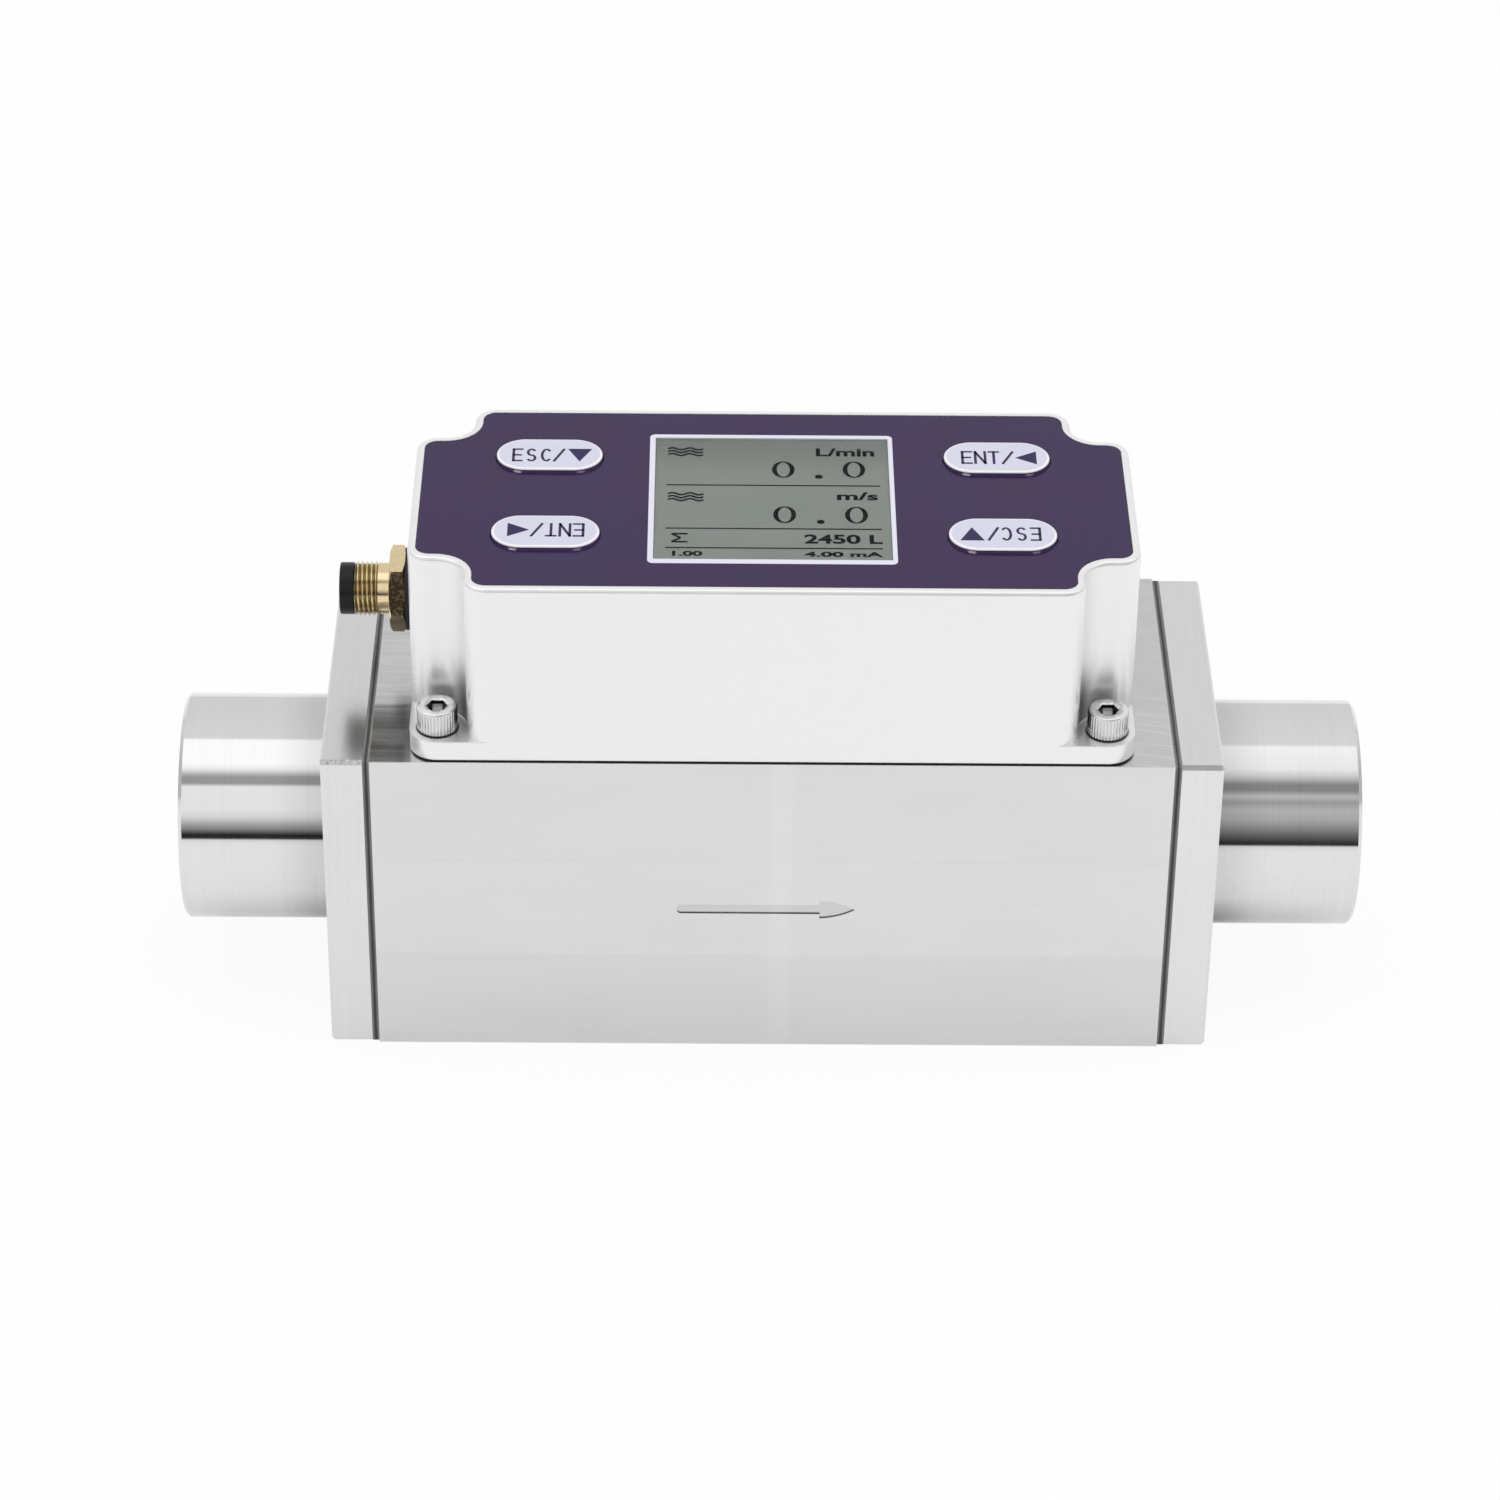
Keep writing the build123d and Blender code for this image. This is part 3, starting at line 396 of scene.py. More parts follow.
def makeBlockSteel():
    # Steel tone x (1 + lines along x + clouds + milling steps). On top: patches, scratches at the right, and
    # painted dark streaky reflections of the connector at the left; in the engraved arrow: painted shade,
    # darkest on its lower wall. Along the edges: a painted highlight
    blockLow, blockHigh = boxOf("body_block")
    middle, half = (blockLow + blockHigh) / 2, (blockHigh - blockLow) / 2
    material, tree, shader, spot = startMaterial("blockSteel", Metallic=1.0)
    x, y, z = splitVector(tree, spot)
    lines = useGroup(tree, brushLines, Vector=spot, Stretch=(0.035, 1.0, 1.0))
    cloud = useGroup(tree, cloudyTone, Vector=vectorCalc(tree, "MULTIPLY", spot, (0.35, 1.0, 1.0)), Size=14.0)
    # painted highlight along the block's edges
    edge = useGroup(tree, edgeLight, Vector=spot, Centre=tuple(middle), Half=tuple(half), Width=0.45)
    upper, lower = blockSteel["millSteps"]
    belowLower = smoothRange(tree, z, lower + 1.0, lower - 1.0)
    belowUpper = smoothRange(tree, z, upper + 0.4, upper - 0.4)
    fromStep = calc(
        tree, "MINIMUM",
        absolute(tree, minus(tree, z, lower)), absolute(tree, minus(tree, z, upper)),
    )
    stepLine = smoothRange(tree, fromStep, 0.5, 0.1)
    left, right = blockSteel["softBand"]
    band = product(
        tree,
        smoothRange(tree, x, left - 1.2, left + 0.8), smoothRange(tree, x, right + 1.2, right - 0.8),
    )
    onTop = smoothRange(tree, z, half[2] * 2 - 0.2, half[2] * 2 - 0.1)
    caseEnd = blockSteel["caseEnd"]
    marks = useGroup(tree, scratchMarks, Vector=spot, Turn=0.2, Threshold=0.58, Size=2.6)["Mask"]
    atRight = product(
        tree, onTop,
        smoothRange(tree, x, caseEnd - 1.5, caseEnd + 1.5), smoothRange(tree, y, -2.0, -10.0),
    )
    scratched = product(tree, marks, atRight)
    patches = useGroup(tree, cloudyTone, Vector=vectorCalc(tree, "MULTIPLY", spot, (0.6, 1.0, 1.0)), Size=4.5)
    patchy = product(tree, patches["Tone"], onTop)
    # painted dark streaky reflections of the connector on the top's left, ragged along the brush lines
    ragged = straightLine(tree, lines["Tone"], 9.0, y)
    reflectionShade = 0.0
    for near, far in blockSteel["reflectionBands"]:
        inside = product(
            tree,
            smoothRange(tree, ragged, near - 0.8, near + 0.4),
            smoothRange(tree, ragged, far + 1.5, far - 1.5),
        )
        reflectionShade = calc(tree, "MAXIMUM", inside, reflectionShade)
    atLeft = product(tree, onTop, smoothRange(tree, x, -caseEnd, -caseEnd - 2.0))
    reflectionStreaks = product(tree, lines["Tone"], atLeft)
    reflectionShade = product(tree, reflectionShade, atLeft)
    # painted shade in the engraved arrow, darkest on its lower wall, which faces up
    cut = product(
        tree,
        smoothRange(tree, y, blockSteel["arrowFloor"] - 0.06, blockSteel["arrowFloor"] + 0.06),
        smoothRange(tree, y, -35.0, -36.0),
    )
    arrowShade = product(tree, cut, minus(tree, 1.0, onTop))
    facing = addNode(tree, "ShaderNodeTexCoord").outputs["Normal"]
    up = splitVector(tree, facing)[2]
    arrowWallShade = product(tree, arrowShade, smoothRange(tree, up, *blockSteel["arrowWalls"]))
    colour = shadeGrey(
        tree, blockSteel["tone"],
        (lines["Tone"], 0.045), (cloud["Tone"], 0.07), (belowUpper, 0.012), (belowLower, -0.04),
        (stepLine, -0.02), (band, 0.03), (onTop, -0.12), (patchy, 0.16), (scratched, 0.10),
        (reflectionStreaks, 0.35), (reflectionShade, -0.40), (edge["Mask"], 0.04), (arrowShade, -0.13), (arrowWallShade, -0.95),
    )
    rough = straightLine(tree, lines["Tone"], 0.06, blockSteel["roughness"])
    setLook(tree, shader, Base_Color=colour, Roughness=straightLine(tree, scratched, 0.15, rough))
    setBump(tree, shader, lines["Height"], 0.002, 0.15)
    return material


fittingSteel = {
    "tone": 0.80,
    "bossRoughness": 0.07,
    "plateRoughness": 0.22,
    "axisHeight": 37.5,
    "plateSide": 75.0,
    "plateEnd": 96.5,
    "shadedBelow": (32.0, 19.0),
    "shadedFor": 14.0,
    "frontEdge": -36.4,
}


def makeFittingSteel():
    # Plates: brush lines, upright in front and along y on top, broken up on the left one's front bevel.
    # Bosses: rings about the flow axis, dull, and darker towards the plate by painted shade, most of all
    # below
    material, tree, shader, spot = startMaterial("fittingSteel", Metallic=1.0)
    x, y, z = splitVector(tree, spot)
    axis = (0.0, 0.0, fittingSteel["axisHeight"])
    rings = useGroup(tree, turnedRings, Vector=spot, Centre=axis, Pitch=0.35)
    slowRings = useGroup(tree, turnedRings, Vector=spot, Centre=axis, Pitch=2.5)
    brush = useGroup(tree, brushLines, Vector=spot, Stretch=(1.6, 0.5, 0.05))
    topBrush = useGroup(tree, brushLines, Vector=spot, Stretch=(1.4, 0.07, 1.0))
    cloud = useGroup(tree, cloudyTone, Vector=spot, Size=16.0)
    outwards = absolute(tree, x)
    end, side = fittingSteel["plateEnd"], fittingSteel["plateSide"]
    onBoss = smoothRange(tree, outwards, end - 0.1, end + 0.4)
    # painted shade on the bosses near the plate, more below it and most on the right boss
    plateShade = product(tree, onBoss, smoothRange(tree, outwards, end + fittingSteel["shadedFor"], end))
    below = smoothRange(tree, z, *fittingSteel["shadedBelow"])
    corner = product(tree, plateShade, below)
    atRight = calc(tree, "GREATER_THAN", x, 0.0)
    rightCornerShade = product(tree, corner, atRight)
    front = fittingSteel["frontEdge"]
    bevel = product(
        tree,
        smoothRange(tree, z, side - 0.9, side - 0.6), smoothRange(tree, y, front, front - 0.3),
        minus(tree, 1.0, atRight),
    )
    onTop = smoothRange(tree, z, side - 0.4, side - 0.1)
    flat = minus(tree, 1.0, onBoss)
    plateTone = mixValue(tree, onTop, brush["Tone"], topBrush["Tone"])
    colour = shadeGrey(
        tree, fittingSteel["tone"],
        (product(tree, rings["Tone"], onBoss), 0.10),
        (product(tree, slowRings["Tone"], onBoss), 0.05),
        (product(tree, plateTone, flat), 0.09),
        (product(tree, plateTone, bevel), 1.6),
        (plateShade, -0.20), (corner, -0.30), (rightCornerShade, -0.26),
        (cloud["Tone"], 0.05), (onTop, -0.02), (product(tree, atRight, flat), 0.03),
    )
    smooth, dull = fittingSteel["bossRoughness"], fittingSteel["plateRoughness"]
    rough = straightLine(tree, rings["Tone"], 0.05, smooth)
    rough = straightLine(tree, flat, dull - smooth, rough)
    setLook(tree, shader, Base_Color=colour, Roughness=rough)
    height = mixValue(tree, onBoss, brush["Height"], rings["Height"])
    setBump(tree, shader, height, 0.0015)
    return material


caseSilver = {
    "tone": 0.985,
    "screwSpot": (71.5, 31.25),
    "notchRadius": 6.3,
    "headRadius": 4.36,
    "seatHeight": 80.0,
}


def makeCaseSilver():
    # Pale satin metal: near-white x (1 + clouds + grain), with a shallow blasted bump. The notches get
    # painted shade low down and towards the middle of the case, and the seat round each head a painted shadow
    material, tree, shader, spot = startMaterial("caseSilver", Metallic=0.75)
    grain = useGroup(tree, fineGrain, Vector=spot, Size=0.22)
    cloud = useGroup(tree, cloudyTone, Vector=spot, Size=22.0)
    x, y, z = splitVector(tree, vectorCalc(tree, "ABSOLUTE", spot))
    inward = minus(tree, caseSilver["screwSpot"][0], x)
    beside = minus(tree, y, caseSilver["screwSpot"][1])
    fromScrew = lengthOf(tree, inward, beside)
    wall, head, seat = caseSilver["notchRadius"], caseSilver["headRadius"], caseSilver["seatHeight"]
    # painted shade in the notches, low down and towards the middle of the case
    inNotch = product(
        tree,
        smoothRange(tree, fromScrew, wall + 0.9, wall + 0.3),
        smoothRange(tree, z, seat + 0.1, seat + 0.4),
    )
    towards = smoothRange(tree, calc(tree, "DIVIDE", inward, fromScrew), 0.3, 0.9)
    lowDown = smoothRange(tree, z, seat + 4.0, seat + 17.0, 1.0, 0.08)
    behind = smoothRange(tree, z, seat + 3.0, seat + 12.0, 0.45, 0.0)
    shade = calc(tree, "MAXIMUM", product(tree, towards, lowDown), behind)
    shade = product(tree, inNotch, shade)
    # painted shadow on the seat round each screw head
    ring = product(
        tree,
        smoothRange(tree, fromScrew, head + 0.55, head + 0.1),
        smoothRange(tree, z, seat + 0.6, seat),
    )
    colour = shadeGrey(
        tree, caseSilver["tone"], (grain["Tone"], 0.04), (cloud["Tone"], 0.03), (shade, -0.86), (ring, -0.8)
    )
    rough = straightLine(tree, cloud["Tone"], 0.08, 0.33)
    setLook(tree, shader, Base_Color=colour, Roughness=rough)
    setBump(tree, shader, grain["Height"], 0.008, 0.3)
    return material


screwSteel = {
    "tone": 0.93,
    "lyingFrom": 84.0,
    "caseSpot": (71.5, 31.25),
    "caseSeat": 80.0,
    "caseTop": 85.7,
    "endSpot": 25.5,
    "endMiddle": 37.5,
    "endSeat": 91.1,
    "endTop": 96.1,
    "headRadius": 4.36,
    "socketRadius": 2.35,
    "rootDepth": 0.08,
    "glintWidth": 1.2,
}


def makeScrewSteel():
    # Bright rolled steel x (1 + fine grain + lines). Painted shade darkens the socket, the roots of the teeth
    # and the line under the head, and a painted glint, dull and pale, lies low in the socket. The places of
    # the four screws of a group fold onto one, for the upright ones and for those along x
    material, tree, shader, spot = startMaterial("screwSteel")
    grain = useGroup(tree, fineGrain, Vector=spot, Size=0.35)
    lines = useGroup(tree, brushLines, Vector=spot, Stretch=(2.0, 2.0, 0.4))
    x, y, z = splitVector(tree, vectorCalc(tree, "ABSOLUTE", spot))
    spotX, spotY = screwSteel["caseSpot"]
    across = minus(tree, x, spotX)
    upright = lengthOf(tree, across, minus(tree, y, spotY))
    fromMiddle = absolute(tree, minus(tree, z, screwSteel["endMiddle"]))
    offSpot = minus(tree, fromMiddle, screwSteel["endSpot"])
    lying = lengthOf(tree, minus(tree, y, screwSteel["endSpot"]), offSpot)
    atEnd = calc(tree, "GREATER_THAN", x, screwSteel["lyingFrom"])

    def either(uprightValue, lyingValue):
        return mixValue(tree, atEnd, uprightValue, lyingValue)

    radius = either(upright, lying)
    aboveSeat = either(
        minus(tree, z, screwSteel["caseSeat"]), minus(tree, x, screwSteel["endSeat"])
    )
    belowTop = either(
        minus(tree, screwSteel["caseTop"], z), minus(tree, screwSteel["endTop"], x)
    )
    head, socket = screwSteel["headRadius"], screwSteel["socketRadius"]
    inSocket = product(
        tree,
        smoothRange(tree, radius, socket + 0.2, socket), smoothRange(tree, belowTop, 0.2, 0.5),
    )
    onSide = product(tree, smoothRange(tree, aboveSeat, 0.3, 0.5), smoothRange(tree, belowTop, 0.5, 0.6))
    # painted shade in the roots of the teeth
    toothRootShade = calc(
        tree, "MULTIPLY", onSide, smoothRange(tree, radius, head, head - screwSteel["rootDepth"])
    )
    # painted shadow line under the head
    underHeadShadow = product(
        tree,
        smoothRange(tree, aboveSeat, 0.5, 0.15), smoothRange(tree, aboveSeat, -1.0, -0.5),
    )
    # painted glint low in the socket, pale and not metal there
    width = screwSteel["glintWidth"]
    low = product(tree, inSocket, smoothRange(tree, belowTop, 0.9, 1.4))
    narrow = smoothRange(tree, absolute(tree, across), width * 0.6, width * 1.3, 1.0, 0.0)
    glint = product(tree, low, narrow)
    # painted shade in the socket, less where the glint is
    socketShade = minus(tree, inSocket, glint)
    colour = shadeGrey(
        tree, screwSteel["tone"],
        (grain["Tone"], 0.10), (lines["Tone"], 0.10), (socketShade, -0.93), (toothRootShade, -0.3), (underHeadShadow, -0.85),
    )
    setLook(
        tree, shader,
        Base_Color=colour, Metallic=minus(tree, 1.0, glint),
        Roughness=straightLine(tree, grain["Tone"], -0.12, 0.2),
    )
    setBump(tree, shader, grain["Height"], 0.012, 0.12)
    return material


frontPanel = {
    "purple": (0.040, 0.019, 0.073),
    "bluer": (0.037, 0.0195, 0.080),
    "white": (0.80, 0.79, 0.90),
    "frameCentre": (-0.4, 0.4),
    "frameHalf": (26.4, 26.4),
    "frameRound": 1.2,
}


def makePanelPurple():
    # White inside a rounded square round the window, purple outside it; the square's distance is
    # the length of max(|offset| - half + round, 0) less the round
    material, tree, shader, spot = startMaterial("panelPurple", Specular_IOR_Level=0.22)
    grain = useGroup(tree, fineGrain, Vector=spot, Size=0.5)
    cloud = useGroup(tree, cloudyTone, Vector=spot, Size=30.0)
    half, rounding = frontPanel["frameHalf"], frontPanel["frameRound"]
    centre = (*frontPanel["frameCentre"], 0.0)
    offset = vectorCalc(tree, "ABSOLUTE", vectorCalc(tree, "SUBTRACT", spot, centre))
    flat = vectorCalc(tree, "MULTIPLY", offset, (1.0, 1.0, 0.0))
    corner = vectorCalc(tree, "SUBTRACT", flat, (half[0] - rounding, half[1] - rounding, 0.0))
    outside = vectorCalc(tree, "LENGTH", vectorCalc(tree, "MAXIMUM", corner, (0.0, 0.0, 0.0)))
    frameMask = smoothRange(tree, outside, rounding + 0.04, rounding - 0.04)
    hue = mixColour(
        tree, smoothRange(tree, cloud["Tone"], -0.12, 0.12), frontPanel["purple"], frontPanel["bluer"]
    )
    purple = tintTone(tree, hue, (grain["Tone"], 0.10), (cloud["Tone"], 0.10))
    colour = mixColour(tree, frameMask, purple, frontPanel["white"])
    rough = straightLine(tree, cloud["Tone"], 0.05, 0.16)
    setLook(tree, shader, Base_Color=colour, Roughness=rough)
    setBump(tree, shader, grain["Height"], 0.002)
    return material


def makeWindowClear():
    # Clear plastic, its roughness a little uneven
    material, tree, shader, spot = startMaterial(
        "windowClear", IOR=1.05, Transmission_Weight=1.0, Roughness=0.0
    )
    cloud = useGroup(tree, cloudyTone, Vector=spot, Size=9.0)
    colour = mixColour(tree, smoothRange(tree, cloud["Tone"], -0.3, 0.3), (0.96, 0.98, 0.97), (1.0, 1.0, 1.0))
    setLook(tree, shader, Base_Color=colour)
    return material


def makeDisplayGrey():
    # Grey-green glass x (1 + a fine square grid of cells + slow clouds), with painted shade by the upper edge
    material, tree, shader, spot = startMaterial("displayGrey", Specular_IOR_Level=0.05)
    away = splitVector(tree, spot)[1]
    cloud = useGroup(tree, cloudyTone, Vector=spot, Size=18.0)
    cell = vectorCalc(tree, "FRACTION", vectorCalc(tree, "MULTIPLY", spot, (2.6, 2.6, 0.0)))
    x, y = splitVector(tree, cell)[:2]
    gap = calc(tree, "MAXIMUM", calc(tree, "GREATER_THAN", x, 0.86), calc(tree, "GREATER_THAN", y, 0.86))
    shaded = smoothRange(tree, away, 8.0, 25.0)
    colour = tintTone(tree, (0.196, 0.211, 0.197), (gap, 0.05), (cloud["Tone"], 0.06), (shaded, -0.22))
    setLook(tree, shader, Base_Color=colour, Roughness=straightLine(tree, cloud["Tone"], 0.1, 0.5))
    return material


def makeInk(name, colour):
    # A printed mark: its colour x (1 + grain)
    material, tree, shader, spot = startMaterial(name, Specular_IOR_Level=0.03)
    grain = useGroup(tree, fineGrain, Vector=spot, Size=0.25)
    setLook(
        tree, shader,
        Base_Color=tintTone(tree, colour, (grain["Tone"], 0.2)),
        Roughness=straightLine(tree, grain["Tone"], 0.2, 0.5),
    )
    return material


def makeMoulded(name, colour, grainSize, roughness, depth=0.006, **fixed):
    # Moulded plastic or rubber: its colour x (1 + grain + clouds), with the grain as bump
    material, tree, shader, spot = startMaterial(name, **fixed)
    grain = useGroup(tree, fineGrain, Vector=spot, Size=grainSize)
    cloud = useGroup(tree, cloudyTone, Vector=spot, Size=7.0)
    setLook(
        tree, shader,
        Base_Color=tintTone(tree, colour, (grain["Tone"], 0.14), (cloud["Tone"], 0.16)),
        Roughness=straightLine(tree, grain["Tone"], 0.14, roughness),
    )
    setBump(tree, shader, grain["Height"], depth)
    return material


seamRubber = {"rubber": 0.022, "middle": 0.05, "edge": 0.27, "seamMiddle": 86.75, "seamStart": 85.9}


def makeSeamRubber():
    # Black rubber; in the two seams it is dark along the middle and grey where it meets the steel
    material, tree, shader, spot = startMaterial("seamRubber", Specular_IOR_Level=0.25)
    grain = useGroup(tree, fineGrain, Vector=spot, Size=0.3)
    streaks = useGroup(tree, brushLines, Vector=spot, Stretch=(1.5, 0.12, 0.12))
    x = splitVector(tree, vectorCalc(tree, "ABSOLUTE", spot))[0]
    aside = absolute(tree, minus(tree, x, seamRubber["seamMiddle"]))
    aside = straightLine(tree, streaks["Tone"], 0.35, aside)
    level = smoothRange(tree, aside, 0.05, 0.6, seamRubber["middle"], seamRubber["edge"])
    inSeam = calc(tree, "GREATER_THAN", x, seamRubber["seamStart"])
    tone = mixValue(tree, inSeam, seamRubber["rubber"], level)
    setLook(
        tree, shader,
        Base_Color=shadeGrey(tree, tone, (grain["Tone"], 0.2)),
        Roughness=straightLine(tree, grain["Tone"], 0.14, 0.5),
    )
    setBump(tree, shader, grain["Height"], 0.006)
    return material


brass = {
    "colour": (0.86, 0.71, 0.44),
    # colours of the painted dark reflection over one flat of the hexagon
    "flatReflection": (0.075, 0.048, 0.026),
    "reflectionSpecks": (0.20, 0.16, 0.10),
    "inSteel": 0.26,
    "steelAway": 8.0,
    "axisHeight": 95.0,
    "threadEnd": -85.35,
    "rootRadius": 5.45,
    "crestRadius": 5.85,
    "hexagonInner": 8.35,
    "dullDegrees": 24.0,
}


def makeBrass():
    # Turned brass x (1 + rings + stains), with painted shade in the thread's roots, and a painted dark
    # reflection, brown with pale specks, over one flat of the hexagon, where the distance along that flat's
    # normal is greatest. Mirrored in the steel, from further away than its own parts, its colour is painted a
    # dull grey
    material, tree, shader, spot = startMaterial("brass", Metallic=1.0)
    rings = useGroup(tree, turnedRings, Vector=spot, Centre=(0.0, 0.0, brass["axisHeight"]), Pitch=0.5)
    cloud = useGroup(tree, cloudyTone, Vector=spot, Size=2.5)
    speckle = useGroup(tree, fineGrain, Vector=spot, Size=0.7)
    x = splitVector(tree, spot)[0]
    onThread = smoothRange(tree, x, brass["threadEnd"], brass["threadEnd"] - 0.1)
    # painted shade in the thread's roots
    threadRootShade = smoothRange(tree, rings["Radius"], brass["crestRadius"], brass["rootRadius"])
    turn = math.radians(brass["dullDegrees"])
    fromAxis = vectorCalc(tree, "SUBTRACT", spot, (0.0, 0.0, brass["axisHeight"]))
    along = vectorCalc(tree, "DOT_PRODUCT", fromAxis, (0.0, -math.cos(turn), math.sin(turn)))
    onFlat = smoothRange(tree, along, brass["hexagonInner"] - 0.25, brass["hexagonInner"] - 0.05)
    spread = smoothRange(tree, straightLine(tree, cloud["Tone"], 0.4, speckle["Tone"]), -0.16, 0.04)
    tint = tintTone(
        tree, brass["colour"],
        (rings["Tone"], 0.2), (cloud["Tone"], 0.35), (product(tree, onThread, threadRootShade), -0.62),
    )
    # painted dark reflection over one flat of the hexagon, brown with pale specks
    reflectedFlat = mixColour(tree, spread, brass["reflectionSpecks"], brass["flatReflection"])
    # painted reflection: the brass seen in the steel from afar is a dull grey
    rays = addNode(tree, "ShaderNodeLightPath").outputs
    farOff = calc(tree, "GREATER_THAN", rays["Ray Length"], brass["steelAway"] * mm)
    reflected = product(tree, rays["Is Glossy Ray"], farOff)
    colour = mixColour(tree, reflected, mixColour(tree, onFlat, tint, reflectedFlat), brass["inSteel"])
    rough = straightLine(tree, cloud["Tone"], 0.16, 0.15)
    setLook(tree, shader, Base_Color=colour, Roughness=straightLine(tree, onFlat, 0.22, rough))
    setBump(tree, shader, rings["Height"], 0.004, 0.08)
    return material


def makeTurnedMetal(name, colour, centre, pitch, roughness):
    # Metal turned about x: its colour x (1 + rings + stains)
    material, tree, shader, spot = startMaterial(name, Metallic=1.0)
    rings = useGroup(tree, turnedRings, Vector=spot, Centre=centre, Pitch=pitch)
    cloud = useGroup(tree, cloudyTone, Vector=spot, Size=2.5)
    setLook(
        tree, shader,
        Base_Color=tintTone(tree, colour, (rings["Tone"], 0.16), (cloud["Tone"], 0.25)),
        Roughness=straightLine(tree, cloud["Tone"], 0.16, roughness),
    )
    setBump(tree, shader, rings["Height"], 0.004, 0.08)
    return material


def makeWovenSteel():
    # Perforated sheet and ring: a fine crossed weave of two sine waves over bright steel
    material, tree, shader, spot = startMaterial("screenSteel", Metallic=1.0)
    y, z = splitVector(tree, spot)[1:]
    weave = product(
        tree,
        calc(tree, "SINE", product(tree, y, 14.0)), calc(tree, "SINE", product(tree, z, 14.0)),
    )
    cloud = useGroup(tree, cloudyTone, Vector=spot, Size=5.0)
    colour = shadeGrey(tree, 0.66, (weave, 0.06), (cloud["Tone"], 0.2))
    setLook(tree, shader, Base_Color=colour, Roughness=straightLine(tree, cloud["Tone"], 0.2, 0.32))
    setBump(tree, shader, weave, 0.01)
    return material


def makeBoardGreen():
    # Green mask with tracks: a cell of the grid holds a track along x or y, or a pad, by its own
    # random number, and a track or pad is a distance from the cell's middle
    material, tree, shader, spot = startMaterial("boardGreen")
    grid = vectorCalc(tree, "MULTIPLY", spot, (0.8, 0.8, 0.0))
    cell = vectorCalc(tree, "FLOOR", grid)
    chance = addNode(tree, "ShaderNodeTexWhiteNoise", {"Vector": cell}, noise_dimensions="3D").outputs[0]
    inCell = vectorCalc(tree, "SUBTRACT", vectorCalc(tree, "FRACTION", grid), (0.5, 0.5, 0.0))
    x, y = splitVector(tree, vectorCalc(tree, "ABSOLUTE", inCell))[:2]
    alongX = product(tree, calc(tree, "LESS_THAN", y, 0.13), calc(tree, "LESS_THAN", chance, 0.45))
    alongY = product(tree, calc(tree, "LESS_THAN", x, 0.13), calc(tree, "GREATER_THAN", chance, 0.62))
    tracks = calc(tree, "MAXIMUM", alongX, alongY)
    fromMiddle = vectorCalc(tree, "LENGTH", inCell)
    pads = product(tree, calc(tree, "LESS_THAN", fromMiddle, 0.3), calc(tree, "GREATER_THAN", chance, 0.9))
    grain = useGroup(tree, fineGrain, Vector=spot, Size=0.4)
    mask = tintTone(tree, (0.015, 0.11, 0.035), (grain["Tone"], 0.15), (tracks, 0.9))
    colour = mixColour(tree, pads, mask, (0.75, 0.55, 0.22))
    rough = straightLine(tree, grain["Tone"], 0.1, 0.35)
    setLook(tree, shader, Base_Color=colour, Roughness=rough, Metallic=pads)
    setBump(tree, shader, calc(tree, "MAXIMUM", tracks, pads), 0.03)
    return material


def makeStriped(name, colour, other, direction, pitch, share, **fixed):
    # Stripes across one way: the fraction of place . direction / pitch against the stripe's share
    material, tree, shader, spot = startMaterial(name, **fixed)
    along = vectorCalc(tree, "DOT_PRODUCT", spot, direction)
    turn = calc(tree, "FRACT", calc(tree, "DIVIDE", along, pitch))
    stripe = smoothRange(tree, turn, share + 0.03, share - 0.03)
    grain = useGroup(tree, fineGrain, Vector=spot, Size=0.3)
    colour = mixColour(tree, stripe, tintTone(tree, colour, (grain["Tone"], 0.12)), other)
    setLook(tree, shader, Base_Color=colour, Roughness=straightLine(tree, grain["Tone"], 0.1, 0.42))
    setBump(tree, shader, stripe, 0.02)
    return material


keyLavender = {
    "face": (0.69, 0.69, 0.82),
    # colour of the painted highlight on the rim
    "edge": (0.95, 0.95, 1.0),
    # colour of the painted shade on the side, under the face
    "side": (0.020, 0.012, 0.038),
    "foot": (0.12, 0.075, 0.20),
    "glint": (0.95, 0.85, 0.95),
    "middleY": 0.85,
    "offMiddle": (48.5, 15.8),
    "reach": 5.2,
    "radius": 6.3,
    "rimWidth": 0.55,
    "edgeTop": 119.2,
    "sideTop": 118.9,
    "footTop": 118.65,
    "glints": ((-6.8, 1.0), (6.9, 0.4)),
}


